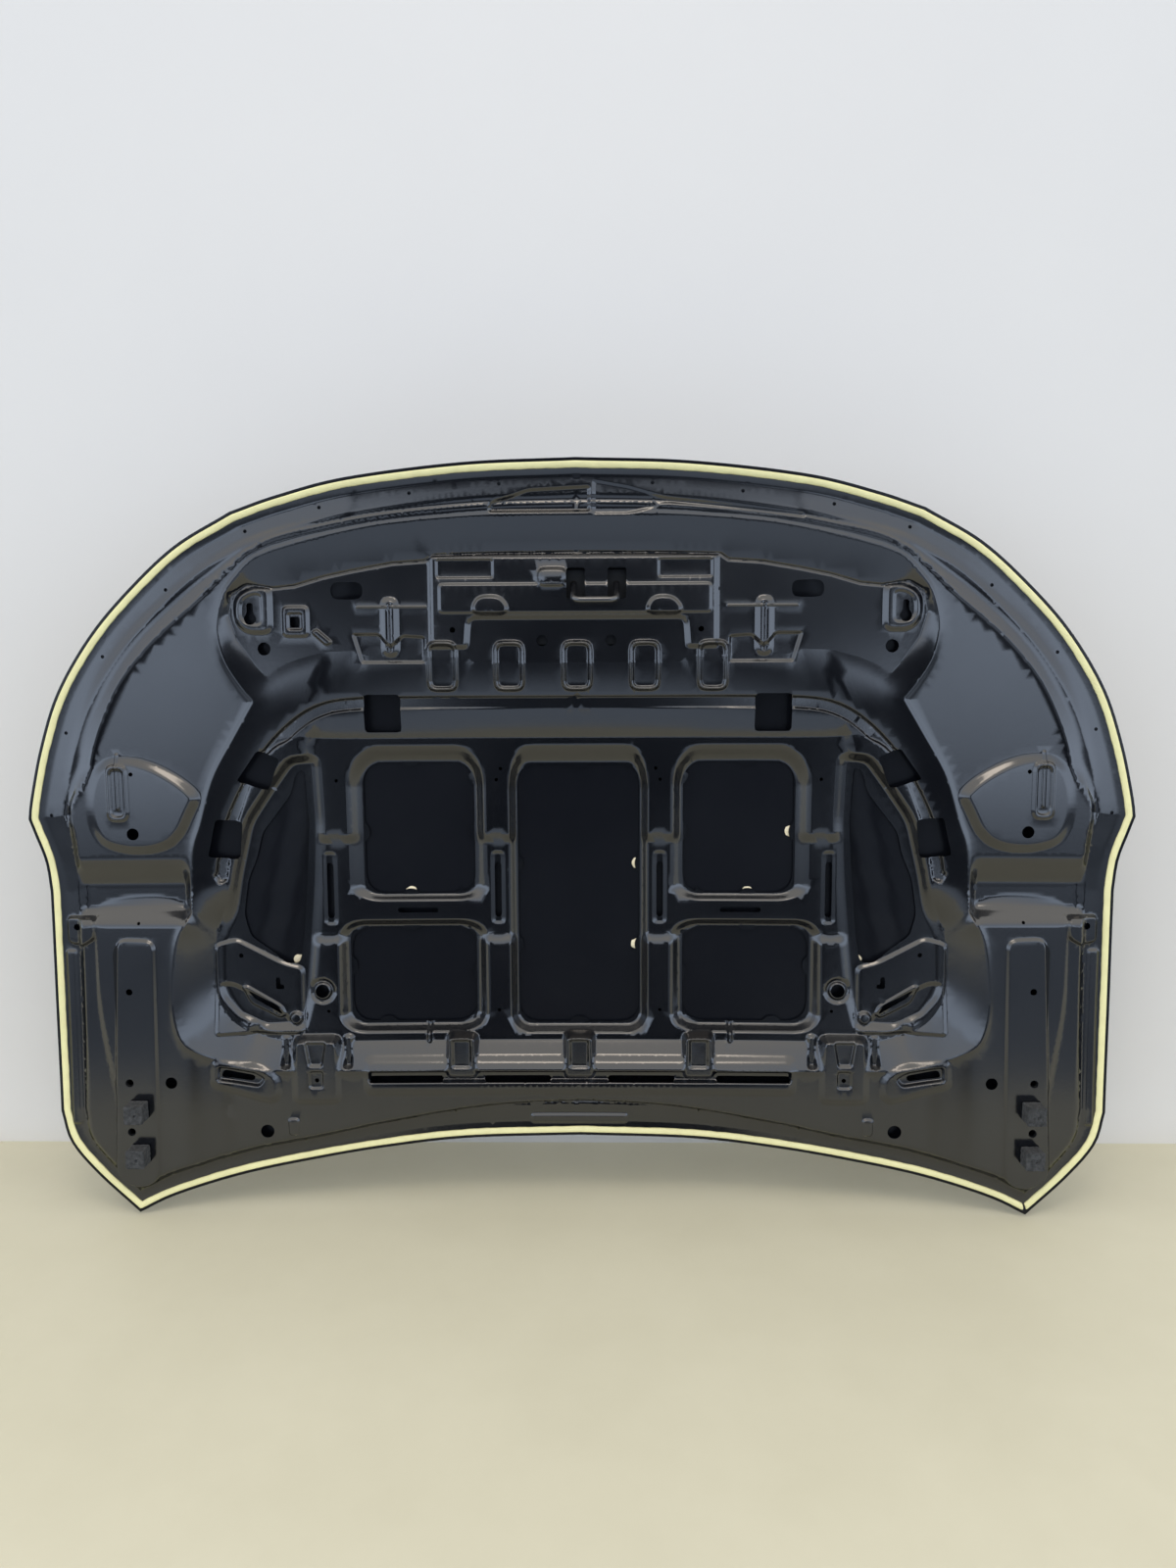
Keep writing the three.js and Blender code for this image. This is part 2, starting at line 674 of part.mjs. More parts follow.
const tailChannel = {
  outline: boxAt(0, tailSlotY, 2 * tailChannelHalfLength, tailChannelWidth, 6, 1),
  run: 3,
  rise: -tailChannelDepth,
  cuts: tailSlotXs.map((x) => boxAt(x, tailSlotY, tailSlotLength, tailSlotWidth, 3, 1)),
};
const noseBandHoles = [
  [9, noseY - 22], [107, noseY - 32], [221, noseY - 44], [335, noseY - 62], [430, noseCornerY - 28],
  [flankX(0.333), flankY(0.744)], [flankX(0.625), flankY(0.534)], [flankX(0.814), flankY(0.284)],
];
const latchHoles = [-1, 1].map((side) =>
  boxAt(strikerX + (side * strikerWidth) / 2, strikerY, latchHoleWidth, latchHoleLength, 3, 1));

// Front beam: the lock's pocket around a raised door panel, with a dome in each half
const pocketNoseY = beamNoseY - latchPocketNoseGap;
const doorNoseY = beamBackY + 8 + doorPanelLength;
const legTailY = beamNoseY - latchPocketLegY - 7;
const latchPocket = {
  outline: facingUp([
    [-latchPocketHalfWidth, pocketNoseY], [latchPocketHalfWidth, pocketNoseY], [latchPocketHalfWidth, legTailY],
    [doorPanelHalfWidth + 10, legTailY], [doorPanelHalfWidth + 7, doorNoseY + 5],
    [-doorPanelHalfWidth - 7, doorNoseY + 5], [-doorPanelHalfWidth - 10, legTailY], [-latchPocketHalfWidth, legTailY],
  ]),
  run: 5,
  level: (x) => plateauLevel(x) - latchPocketDepth,
  forms: [-1, 1].map((side) => ({
    outline: circle(side * domeX, pocketNoseY - 59, domeRadius, 10),
    run: 6,
    rise: latchPocketDepth - 2,
  })),
  cuts: latchHoles,
};
const doorPanel = {
  outline: boxAt(0, doorNoseY - doorPanelLength / 2, 2 * doorPanelHalfWidth, doorPanelLength, 6, 1),
  run: 4,
  rise: doorPanelRise,
  cuts: [-44, 44].map((x) => circle(x, doorNoseY - 31, 7)),
};
const lockEmboss = {
  outline: boxAt(-363, bufferY - 9, 33, 40, 7, 1),
  run: 4,
  rise: 3,
  cuts: [boxAt(-363, bufferY - 10, 12, 14, 2, 1)],
};
const drainForms = [-2, -1, 0, 1, 2].map((place) => ({
  outline: boxAt(place * drainFormPitch, beamBackY - 4 - drainFormLength / 2, drainFormWidth, drainFormLength, 8, 1),
  run: 4,
  level: (x) => plateauLevel(x) - 0.5,
  forms: [{
    outline: boxAt(place * drainFormPitch, beamBackY - 5 - drainFormLength / 2, drainFormWidth - 16, drainFormLength - 14, 4, 1),
    run: 2.5,
    rise: -4,
  }],
}));

// Rear beam: drain forms on its wall, and a pad with a keyhole and a curved recess on each side
const tailForms = [-160, 0, 160].map((x) => ({
  outline: boxAt(x, (beamEdgeY + bowlTailY) / 2, 40, bowlTailY - beamEdgeY - 6, 6, 1),
  run: 3,
  level: () => crestLevel(x, beamEdgeY) + 1,
}));
const tailPad = {
  outline: boxAt(355, beamEdgeY - 25, 64, 42, 8, 1),
  run: 5,
  rise: 3,
  cuts: [keyhole(355, beamEdgeY - 20, 8, 7, 15)],
};
const tailRecess = {
  outline: facingUp([[490, 206], [434, 194], [402, 180], [412, 164], [486, 182]]),
  run: 4,
  rise: -5,
  cuts: [facingUp([[478, 198], [442, 190], [444, 184], [480, 191]])],
};

// Inner panel: one sheet pressed into beams, ribs, pads and pockets, with its flange inside the hem
function innerPanel() {
  const sheet = new Sheet();
  const lift = clearance + innerThickness;
  const flangeEdge = sheet.ring(inset(trim, skinThickness + 0.5), aboveSkin(lift));
  const flangeFoot = sheet.ring(inset(trim, flangeWidth), aboveSkin(lift));
  const bandEdge = sheet.ring(inset(trim, flangeWidth + 7), aboveSkin(bandLift));
  sheet.strip(flangeEdge, flangeFoot);
  sheet.strip(flangeFoot, bandEdge);

  const step = inset(trim, bandWidth);
  const stepFoot = sheet.ring(step, aboveSkin(stepLift));
  const holes = noseBandHoles.flatMap(([x, y]) => (x < 20 ? [[x, y]] : [[x, y], [-x, y]]));
  area(sheet, bandEdge, aboveSkin((bandLift + stepLift) / 2), {
    rings: [stepFoot],
    cuts: [...holes.map(([x, y]) => circle(x, y, 2, 6)), ...sides.map((side) => circle(side * (sideX - 26), 400, 3.5, 8))],
  });
  const crestEdge = sheet.ring(inset(step, 8), crestLevel);
  sheet.strip(stepFoot, crestEdge);

  const basin = mirrored(basinHalf);
  const basinEdge = sheet.ring(basin, aboveCrest(ridgeRise));
  const perSide = (form) => sides.map((side) => mirroredForm(side, form));
  area(sheet, crestEdge, crestLevel, {
    rings: [basinEdge],
    forms: [
      ...perSide(wingPad), ...perSide(valley), ...perSide(hingeTower), ...perSide(tailPad), ...perSide(tailRecess),
      tailChannel,
    ],
    cuts: sides.flatMap((side) => [circle(side * 548, 192, 7.5), circle(side * 424, 122, 9, 12)]),
    seeds: sides.flatMap((side) => [[side * 560, 700], [side * 500, 740], [side * 590, 660]]),
  });

  const bowlEdge = sheet.ring(mirrored(bowlHalf), wallLevel);
  const plateau = mirrored(plateauHalf);
  const plateauEdge = sheet.ring(plateau, plateauLevel);
  area(sheet, basinEdge, wallLevel, {
    rings: [bowlEdge, plateauEdge],
    forms: [
      {
        outline: boxAt(0, ledgeY, 2 * ledgeHalfLength, ledgeWidth + 8, 4, 1),
        face: boxAt(0, ledgeY, 2 * ledgeHalfLength - 8, ledgeWidth, 3, 1),
        level: (x) => wallLevel(x, ledgeY) - ledgeDrop,
      },
      ...drainForms,
      ...tailForms,
    ],
    cuts: sides.flatMap((side) => [onSide(side, wallOpening), ...sideOpenings.map((cut) => onSide(side, cut))]),
  });
  area(sheet, plateauEdge, plateauLevel, {
    forms: [...perSide(bufferPad), latchPocket, doorPanel, lockEmboss],
    cuts: sides.flatMap((side) => [
      onSide(side, boxAt(obroundX, strikerY - 9, obroundWidth, obroundLength, obroundLength / 2, 3)),
      circle(side * 405, bufferY - 44, 8.5, 12),
    ]),
  });

  area(sheet, bowlEdge, ribLevel, {
    forms: [
      pocket("centre"),
      ...perSide(pocket("upper")),
      ...perSide(pocket("lower")),
      ...perSide(sidePocket),
      ...perSide(ribRecess(midRibX)),
      ...perSide(ribRecess(ribAt(ribRecessY))),
    ],
    cuts: sides.map((side) => circle(side * ribAt(313), 313, 9, 12)),
  });
  return sheet.solid(innerThickness);
}

// Sealer: one bead of sealant over the end of the hem, drawn around the edge and left open at one corner
function hemSealer() {
  const floor = innerThickness + 2 * clearance + skinThickness + clearance;
  const section = [
    [sealerInset, floor],
    [sealerInset + sealerWidth, floor],
    [sealerInset + sealerWidth - 1.5, floor + sealerHeight],
    [sealerInset + 1.5, floor + sealerHeight],
  ];
  const rings = section.map(([depth, rise]) => inset(trim, depth).map(([x, y]) => [x, y, skinLevel(x, y) + rise]));
  const open = trim.findIndex(([x, y]) => x > hingeCornerX - 1 && y < hingeCornerY + 1);
  const stations = Array.from({ length: trim.length - 1 }, (_, i) => (open + 1 + i) % trim.length);
  const position = stations.flatMap((i) => rings.map((ring) => ring[i])).flat();
  const faces = [[0, 2, 1], [0, 3, 2]];
  stations.slice(1).forEach((_, k) => {
    for (let i = 0; i < 4; i += 1) {
      const a = 4 * k + i;
      const b = 4 * k + ((i + 1) % 4);
      faces.push([a, b, b + 4], [a, b + 4, a + 4]);
    }
  });
  const last = 4 * (stations.length - 1);
  faces.push([last, last + 1, last + 2], [last, last + 2, last + 3]);
  return closedGeometry(position, faces);
}

// Plates spot-welded behind the inner panel, where the hinges and the lock pull on it
function hingePlate(side) {
  const sheet = new Sheet();
  const level = () => hingePadHeight - innerThickness - clearance;
  const outline = inset(hingePadFace, 4);
  const edge = sheet.ring(onSide(side, outline), level);
  area(sheet, edge, level, { cuts: hingeTower.cuts.map((cut) => onSide(side, cut)) });
  return sheet.solid(plateThickness);
}

const latchFace = plateauHeight - latchPocketDepth - innerThickness - clearance;

function latchPlate() {
  const sheet = new Sheet();
  const level = () => latchFace;
  const outline = boxAt(strikerX, strikerY - latchPlateDrop, latchPlateWidth, latchPlateLength, 10);
  const edge = sheet.ring(outline, level);
  area(sheet, edge, level, {});
  return sheet.solid(plateThickness);
}

function prism(outline, height) {
  const shape = new THREE.Shape(outline.map(([x, y]) => new THREE.Vector2(x, y)));
  return new THREE.ExtrudeGeometry(shape, { depth: height, bevelEnabled: false });
}

const bonnet = new THREE.Group();
bonnet.name = "bonnet";

function add(name, geometry, material, place = [0, 0, 0]) {
  const mesh = new THREE.Mesh(geometry, material);
  mesh.name = name;
  mesh.position.set(...place);
  bonnet.add(mesh);
  return mesh;
}

add("outer_panel", outerPanel(), paintedSkin);
add("inner_panel", innerPanel(), paintedSteel);
add("hem_sealer", hemSealer(), paleSealer);

// Striker: a round rod bent to a loop, welded by its two feet to the plate behind the front beam
const outward = new THREE.Vector3(0, -Math.sin(strikerTilt), Math.cos(strikerTilt));
const footHeight = (strikerRod / 2) * Math.sin(strikerTilt) + clearance;
function strikerPath() {
  const foot = (side) => new THREE.Vector3((side * strikerWidth) / 2, 0, footHeight);
  const along = (side, reach, pull) =>
    foot(side).addScaledVector(outward, reach).add(new THREE.Vector3(-side * pull, 0, 0));
  const bend = strikerRod * 1.2;
  const path = new THREE.CurvePath();
  path.add(new THREE.LineCurve3(foot(-1), along(-1, strikerReach - bend, 0)));
  path.add(new THREE.QuadraticBezierCurve3(
    along(-1, strikerReach - bend, 0), along(-1, strikerReach, 0), along(-1, strikerReach, bend)));
  path.add(new THREE.LineCurve3(along(-1, strikerReach, bend), along(1, strikerReach, bend)));
  path.add(new THREE.QuadraticBezierCurve3(
    along(1, strikerReach, bend), along(1, strikerReach, 0), along(1, strikerReach - bend, 0)));
  path.add(new THREE.LineCurve3(along(1, strikerReach - bend, 0), foot(1)));
  return path;
}
const rodSection = new THREE.Shape(circle(0, 0, strikerRod / 2, 10).map(([x, y]) => new THREE.Vector2(x, y)));
add(
  "striker_loop",
  new THREE.ExtrudeGeometry(rodSection, { steps: 40, extrudePath: strikerPath(), bevelEnabled: false }),
  zincSteel,
  [strikerX, strikerY, latchFace],
);
add("latch_plate", latchPlate(), zincSteel);

for (const side of sides) {
  const name = sideName(side);
  add(`hinge_plate_${name}`, hingePlate(side), zincSteel);
  hingeStudHoleY.forEach((y, i) => {
    const ring = new THREE.Shape(circle(0, 0, weldNutRadius, 6).map(([x, z]) => new THREE.Vector2(x, z)));
    ring.holes.push(new THREE.Path(circle(0, 0, hingeStudHoleRadius - 1, 10).map(([x, z]) => new THREE.Vector2(x, z))));
    const nut = new THREE.ExtrudeGeometry(ring, { depth: weldNutHeight, bevelEnabled: false });
    const seat = hingePadHeight - innerThickness - plateThickness - 2 * clearance;
    add(`weld_nut_${name}_${i + 1}`, nut, zincSteel, [side * (hingePadX + 5), y, seat - weldNutHeight]);
  });
  foamBlockY.forEach((y, i) => {
    const outline = boxAt(0, 0, foamBlockSize, foamBlockSize, 3, 2);
    const block = prism(outline, foamBlockHeight);
    add(`foam_block_${name}_${i + 1}`, block, darkFoam, [side * (hingePadX - 7), y, hingePadHeight + clearance]);
  });
}

// Mastic: soft beads between the skin and the window tabs
const masticHeight = pocketLift - innerThickness - 2 * masticClearance;
function masticPlaces() {
  const places = [];
  const note = (name, side) => {
    const { left, right, bottom, top } = pocketFloors[name];
    const [leftTab, rightTab, bottomTab, topTab] = windowTabs[name];
    const m = windowMargin;
    leftTab.forEach((y) => places.push([side * (left + m), y]));
    rightTab.forEach((y) => places.push([side * (right - m), y]));
    places.push([side * bottomTab, bottom + m], [side * topTab, top - m]);
  };
  note("centre", 1);
  for (const side of sides) {
    note("upper", side);
    note("lower", side);
    places.push([side * 384, 349]);
  }
  return places;
}
masticPlaces().forEach(([x, y], i) => {
  const bead = prism(circle(0, 0, masticRadius, 10), masticHeight);
  const name = `mastic_bead_${String(i + 1).padStart(2, "0")}`;
  add(name, bead, creamMastic, [x, y, skinLevel(x, y) + masticClearance]);
});

// Stand the bonnet on its hinge end, inner side to the front, with the hinge line at the origin
const hingeLineY = (hingeStudHoleY[0] + hingeStudHoleY[1]) / 2;
const upright = new THREE.Group();
bonnet.position.set(0, -hingeLineY, -hingePadHeight);
upright.add(bonnet);
upright.rotation.x = Math.PI / 2;

const car = new THREE.Group();
car.add(upright);

export default car;
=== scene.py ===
import math
import bpy
import numpy as np
from mathutils import Matrix, Vector, geometry


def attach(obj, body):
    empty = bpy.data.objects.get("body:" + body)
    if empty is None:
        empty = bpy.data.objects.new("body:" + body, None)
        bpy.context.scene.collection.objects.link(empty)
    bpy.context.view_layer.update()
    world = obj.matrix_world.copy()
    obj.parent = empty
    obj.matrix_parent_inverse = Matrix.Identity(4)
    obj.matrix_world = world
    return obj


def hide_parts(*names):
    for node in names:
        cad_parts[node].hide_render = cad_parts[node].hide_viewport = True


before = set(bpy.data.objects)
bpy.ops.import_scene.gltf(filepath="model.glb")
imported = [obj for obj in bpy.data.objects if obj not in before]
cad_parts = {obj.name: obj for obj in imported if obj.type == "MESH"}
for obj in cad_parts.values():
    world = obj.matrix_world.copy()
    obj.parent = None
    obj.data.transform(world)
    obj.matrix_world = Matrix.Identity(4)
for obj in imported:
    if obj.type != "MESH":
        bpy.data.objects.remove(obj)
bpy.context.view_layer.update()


# Panel places are in millimetres: x across, y up from the hinge corners, z from the skin to the viewer
HINGE_LINE_Y = 158
HINGE_PAD_Z = 54
SKIN_THICKNESS = 0.75
INNER_THICKNESS = 0.7
CLEARANCE = 0.3
HEM_WIDTH = 10.5
NOSE_Y = 1007
TAIL_Y = 103
WIDEST_X = 725
HINGE_CORNER = (601, 6)
SADDLE_Y = 380
CROWN_ACROSS = 40
CROWN_TO_NOSE = 50
CROWN_TO_TAIL = 14
NOSE_CURL = 12
CURL_START_Y = 880
MIDDLE_DROP = 7
FEATURE_X = 363
FEATURE_Y = 605
FEATURE_LEAN = 0.228
MILLIMETRES = 1000


def to_frame(points):
    """Panel millimetres to the frame's metres."""
    x, y, z = np.asarray(points, float).T
    return np.column_stack((x, HINGE_PAD_Z - z, y - HINGE_LINE_Y)) / MILLIMETRES


def soft(t):
    """Nought to one over t from nought to one, eased at both ends."""
    t = np.clip(t, 0, 1)
    return t * t * (3 - 2 * t)


def feature_line(y):
    """How far out the crease on each side of the skin's lowered middle runs."""
    return FEATURE_X + FEATURE_LEAN * (FEATURE_Y - y)


def skin_crown(x, y):
    """The skin's even crown: round across, falling to the tail, curling in at the nose."""
    to_nose = np.maximum(0, y - SADDLE_Y) / (NOSE_Y - SADDLE_Y)
    to_tail = np.maximum(0, SADDLE_Y - y) / SADDLE_Y
    curl = np.maximum(0, y - CURL_START_Y) / (NOSE_Y - CURL_START_Y)
    across = CROWN_ACROSS * (x / WIDEST_X) ** 2
    return across + CROWN_TO_NOSE * to_nose**2.2 + CROWN_TO_TAIL * to_tail**2 + NOSE_CURL * curl**2


def skin_level(x, y):
    """The skin's inner face, with its middle lowered between two creases."""
    middle = 1 - soft((np.abs(x) - feature_line(y)) / 16 + 0.5)
    fade = soft((NOSE_Y - 20 - y) / 200) * soft((y - TAIL_Y) / 100)
    return skin_crown(x, y) - MIDDLE_DROP * middle * fade


def curve_through(points, pitch):
    """A smooth curve through points, as points about one pitch apart."""
    p = np.array(points, float)
    p = np.vstack((2 * p[0] - p[1], p, 2 * p[-1] - p[-2]))
    t = np.linspace(0, 1, 24, endpoint=False)[:, None]
    parts = []
    for a, b, c, d in zip(p, p[1:], p[2:], p[3:]):
        bow = 2 * a - 5 * b + 4 * c - d
        twist = 3 * b - a - 3 * c + d
        parts.append(0.5 * (2 * b + (c - a) * t + bow * t**2 + twist * t**3))
    return walked(np.vstack((*parts, p[-2:-1])), pitch)


def walked(line, pitch, closed=False):
    """Points at even steps along a line."""
    line = np.vstack((line, line[:1])) if closed else np.asarray(line, float)
    steps = np.hypot(*np.diff(line, axis=0).T)
    along = np.concatenate(([0], np.cumsum(steps)))
    count = max(3, round(along[-1] / pitch))
    marks = np.linspace(0, along[-1], count + 1)
    out = np.column_stack([np.interp(marks, along, line[:, k]) for k in (0, 1)])
    return out[:-1] if closed else out


def whole(half):
    """A half outline from the nose to the tail, with its mirror image."""
    half = np.asarray(half, float)
    return np.vstack((half, (half[-2:0:-1]) * (-1, 1)))


def joined(*pieces):
    """Stretches of an outline in one row, each starting where the last one ends."""
    return np.vstack([piece[:-1] for piece in pieces[:-1]] + [pieces[-1]])


TRIM_PITCH = 12
trim_half = joined(
    curve_through([(0, NOSE_Y), (142, 1002), (289, 985), (380, 963), (440, 943)], TRIM_PITCH),
    curve_through([
        (440, 943), (514, 901), (579, 844), (632, 785), (677, 714), (704, 642), (721, 574), (WIDEST_X, 548),
    ], TRIM_PITCH),
    curve_through([(WIDEST_X, 548), (718, 526), (707, 490), (703, 450)], TRIM_PITCH),
    curve_through([(703, 450), (703.5, 300), (702, 150)], TRIM_PITCH),
    curve_through([(702, 150), (690, 106), (655, 60), HINGE_CORNER], TRIM_PITCH),
    curve_through([
        HINGE_CORNER, (552, 28), (461, 54), (355, 74), (262, 88), (155, 99), (0, TAIL_Y),
    ], TRIM_PITCH),
)
trim = whole(trim_half)


def in_bounds(x, y, low, high):
    """Which places lie in a rectangle, given by its low and high corners."""
    return (x > low[0]) & (x < high[0]) & (y > low[1]) & (y < high[1])


def inset(outline, distance):
    """A closed outline moved inwards (it runs clockwise)."""
    before = np.roll(outline, 1, axis=0)
    after = np.roll(outline, -1, axis=0)
    a = (outline - before) / np.linalg.norm(outline - before, axis=1)[:, None]
    b = (after - outline) / np.linalg.norm(after - outline, axis=1)[:, None]
    normal = np.column_stack((a[:, 1] + b[:, 1], -a[:, 0] - b[:, 0]))
    normal /= np.linalg.norm(normal, axis=1)[:, None]
    lean = np.maximum(0.6, normal[:, 0] * a[:, 1] - normal[:, 1] * a[:, 0])
    return outline + normal * (distance / lean)[:, None]


def inside(x, y, outline):
    """Which places lie inside a closed outline."""
    found = np.zeros(x.shape, bool)
    for (x0, y0), (x1, y1) in zip(outline, np.roll(outline, -1, axis=0)):
        if y0 != y1:
            crossed = (y0 > y) != (y1 > y)
            found ^= crossed & (x < x0 + (y - y0) * (x1 - x0) / (y1 - y0))
    return found


def triangles_of(points, loops, kept):
    """Triangles over points, with loops of point numbers as edges, where kept(x, y) is true."""
    edges = [(int(a), int(b)) for loop in loops for a, b in zip(loop, np.roll(loop, -1))]
    found = geometry.delaunay_2d_cdt([Vector(p) for p in points], edges, [], 0, 1e-5)
    flat = np.array([tuple(v) for v in found[0]])
    faces = np.array([tuple(face) for face in found[2]])
    centres = flat[faces].mean(axis=1)
    return flat, faces[kept(centres[:, 0], centres[:, 1])]


def mesh_object(name, points, faces, material, smooth=True):
    """A mesh of points and faces in the scene."""
    mesh = bpy.data.meshes.new(name)
    mesh.from_pydata([tuple(p) for p in points], [], [tuple(int(i) for i in face) for face in faces])
    mesh.materials.append(material)
    mesh.polygons.foreach_set("use_smooth", [smooth] * len(mesh.polygons))
    mesh.update()
    made = bpy.data.objects.new(name, mesh)
    bpy.context.scene.collection.objects.link(made)
    return made


def grid_places(pitch, bounds):
    """Places in rows at a pitch over a rectangle, every other row half a pitch along."""
    x0, x1, y0, y1 = bounds
    x, y = np.meshgrid(np.arange(x0, x1, float(pitch)), np.arange(y0, y1, float(pitch)))
    x[1::2] += pitch / 2
    return np.column_stack((x.ravel(), y.ravel()))


def add_node(tree, kind, **values):
    """A shader node with values for its inputs; an underscore in a name stands for a space."""
    made = tree.nodes.new("ShaderNode" + kind)
    for name, value in values.items():
        made.inputs[name.replace("_", " ")].default_value = value
    return made


def blended(tree, first, second, share):
    """A colour that goes from a first to a second by a share."""
    made = tree.nodes.new("ShaderNodeMix")
    made.data_type = "RGBA"
    made.inputs["A"].default_value = (*first, 1)
    made.inputs["B"].default_value = (*second, 1)
    tree.links.new(share, made.inputs["Factor"])
    return made.outputs["Result"]


def new_material(name):
    """A material, with its node tree, its shader and the place on the piece."""
    made = bpy.data.materials.new(name)
    made.use_nodes = True
    tree = made.node_tree
    return made, tree, tree.nodes["Principled BSDF"], add_node(tree, "TexCoord").outputs["Object"]


COAT_IOR = 1.7
COAT_SPECULAR = 0.75
DUST_COLOUR = (0.32, 0.31, 0.28)


def paint(name, colour, roughness, grain, dust=0.0, mirror=1.0):
    """Black dipped primer: a thin glossy coat with fine orange peel and a little dust."""
    made, tree, shader, place = new_material(name)
    cloud = add_node(tree, "TexNoise", Scale=3.5, Detail=5)
    gloss = add_node(tree, "MapRange", From_Min=0.3, From_Max=0.7)
    gloss.inputs["To Min"].default_value = roughness - 0.03
    gloss.inputs["To Max"].default_value = roughness + 0.04
    peel = add_node(tree, "TexNoise", Scale=420, Detail=2)
    bump = add_node(tree, "Bump", Strength=grain, Distance=0.0004)
    specks = add_node(tree, "TexNoise", Scale=60, Detail=8, Roughness=0.75)
    settled = add_node(tree, "MapRange", From_Min=0.52, From_Max=0.85, To_Max=dust)
    tint = blended(tree, colour, DUST_COLOUR, settled.outputs["Result"])
    takers = (gloss.inputs["Value"], bump.inputs["Height"], settled.inputs["Value"])
    for noise, taker in zip((cloud, peel, specks), takers):
        tree.links.new(place, noise.inputs["Vector"])
        tree.links.new(noise.outputs["Fac"], taker)
    tree.links.new(gloss.outputs["Result"], shader.inputs["Roughness"])
    tree.links.new(bump.outputs["Normal"], shader.inputs["Normal"])
    tree.links.new(tint, shader.inputs["Base Color"])
    shader.inputs["IOR"].default_value = COAT_IOR
    shader.inputs["Specular IOR Level"].default_value = COAT_SPECULAR * mirror
    return made


skin_paint = paint("painted_skin", (0.0035, 0.004, 0.006), 0.24, 0.10, 0.008, 0.2)
hem_gap = INNER_THICKNESS + 2 * CLEARANCE
fold = SKIN_THICKNESS / 2
radius = (hem_gap + 2 * SKIN_THICKNESS) / 2
BEND_STEPS = 8
HEM_INNER = 13
hem_section = [(HEM_INNER, -SKIN_THICKNESS), (fold, -SKIN_THICKNESS)]
for step in range(1, BEND_STEPS):
    turn = math.pi * step / BEND_STEPS
    hem_section.append((fold - fold * math.sin(turn), hem_gap / 2 - radius * math.cos(turn)))
hem_section += [
    (fold, hem_gap + SKIN_THICKNESS),
    (HEM_WIDTH, hem_gap + SKIN_THICKNESS),
    (HEM_WIDTH, hem_gap),
    (SKIN_THICKNESS, hem_gap),
    (SKIN_THICKNESS, 0),
    (HEM_INNER, 0),
]
rings = []
for depth, rise in hem_section:
    ring = inset(trim, depth)
    rings.append(np.column_stack((ring, skin_level(*ring.T) + rise)))
count = len(trim)
middle = grid_places(16, (-720, 720, 20, 1000))
middle = middle[inside(*middle.T, inset(trim, 20))]
rim = rings[-1][:, :2]
flat, faces = triangles_of(np.vstack((rim, middle)), [np.arange(count)], lambda x, y: inside(x, y, rim))
front = np.column_stack((flat, skin_level(*flat.T)))
back = front - (0, 0, SKIN_THICKNESS)
rolled = np.vstack(rings[1:-1])
points = np.vstack((front, back, rolled))
outer_faces = [tuple(face) for face in faces] + [(c, b, a) for a, b, c in faces + len(front)]
starts = [len(front)] + [2 * len(front) + k * count for k in range(len(rings) - 2)] + [0]
for low, high in zip(starts, starts[1:]):
    for i in range(count):
        j = (i + 1) % count
        outer_faces.append((low + i, high + i, high + j, low + j))
outer = mesh_object("outer_skin", to_frame(points), outer_faces, skin_paint)
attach(outer, "root")
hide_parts("outer_panel")

# Inner panel: one steel sheet pressed into beams, ribs, pads and pockets, which stiffens the
# skin. Its flange lies in the hem, and mastic holds the tabs of its windows to the skin.
PLATEAU_Z = 41
RIB_LIFT = 18
POCKET_LIFT = 4.2
HINGE_PLATFORM_Z = 50.5
PLATFORM_TOP_Y = 444
CREST_Z = 30
CREST_TO_SIDES = 22
CREST_TO_NOSE = 28


def crest_level(x, y):
    """The beams and wings, with the platform under each hinge pad."""
    a = np.abs(x)
    to_nose = np.maximum(0, y - 300) / 700
    z = CREST_Z + CREST_TO_SIDES * (a / WIDEST_X) ** 2 + CREST_TO_NOSE * to_nose**2.2
    side_edge = 646 - 30 * soft((330 - y) / 270)
    tower_top = PLATFORM_TOP_Y - 26 * np.clip(np.abs(a - 584) / 78, 0, 1.2) ** 3
    platform = soft((a - 465) / 70) * soft((tower_top - y) / 26)
    platform = platform * soft((side_edge - a) / 9) * soft((y - 30) / 26)
    return z + (HINGE_PLATFORM_Z - z) * platform


def plateau_level(x):
    """The flat land of the front beam that carries the lock parts."""
    return PLATEAU_Z + 14 * (x / WIDEST_X) ** 2


def rib_level(x, y):
    """The ribs, a little lower around the cross bars."""
    low = ramp((522 - y) / 11) * ramp((y - 374) / 11) * ramp((372 - np.abs(x)) / 8)
    cove = soft((np.abs(x) - 400) / 60) * soft((460 - y) / 60)
    return skin_level(x, y) + RIB_LIFT - 5 * low - 12 * cove


def rounded(corners, radius=4, steps=3):
    """A closed outline with its corners rounded."""
    p = np.array(corners, float)
    out = []
    for before, corner, after in zip(np.roll(p, 1, axis=0), p, np.roll(p, -1, axis=0)):
        a = before - corner
        b = after - corner
        reach_a = min(radius / np.linalg.norm(a), 0.45)
        reach_b = min(radius / np.linalg.norm(b), 0.45)
        start = corner + a * reach_a
        end = corner + b * reach_b
        for t in np.linspace(0, 1, steps + 1):
            out.append(start * (1 - t) ** 2 + corner * 2 * t * (1 - t) + end * t**2)
    return np.array(out)


def box(x0, x1, y0, y1, radius=4, steps=3):
    """A closed rectangle with rounded corners."""
    return rounded([(x0, y1), (x1, y1), (x1, y0), (x0, y0)], radius, steps)


def disc(x, y, radius, sides=20):
    """A closed circle."""
    turn = -np.arange(sides) * 2 * math.pi / sides
    return np.column_stack((x + radius * np.cos(turn), y + radius * np.sin(turn)))


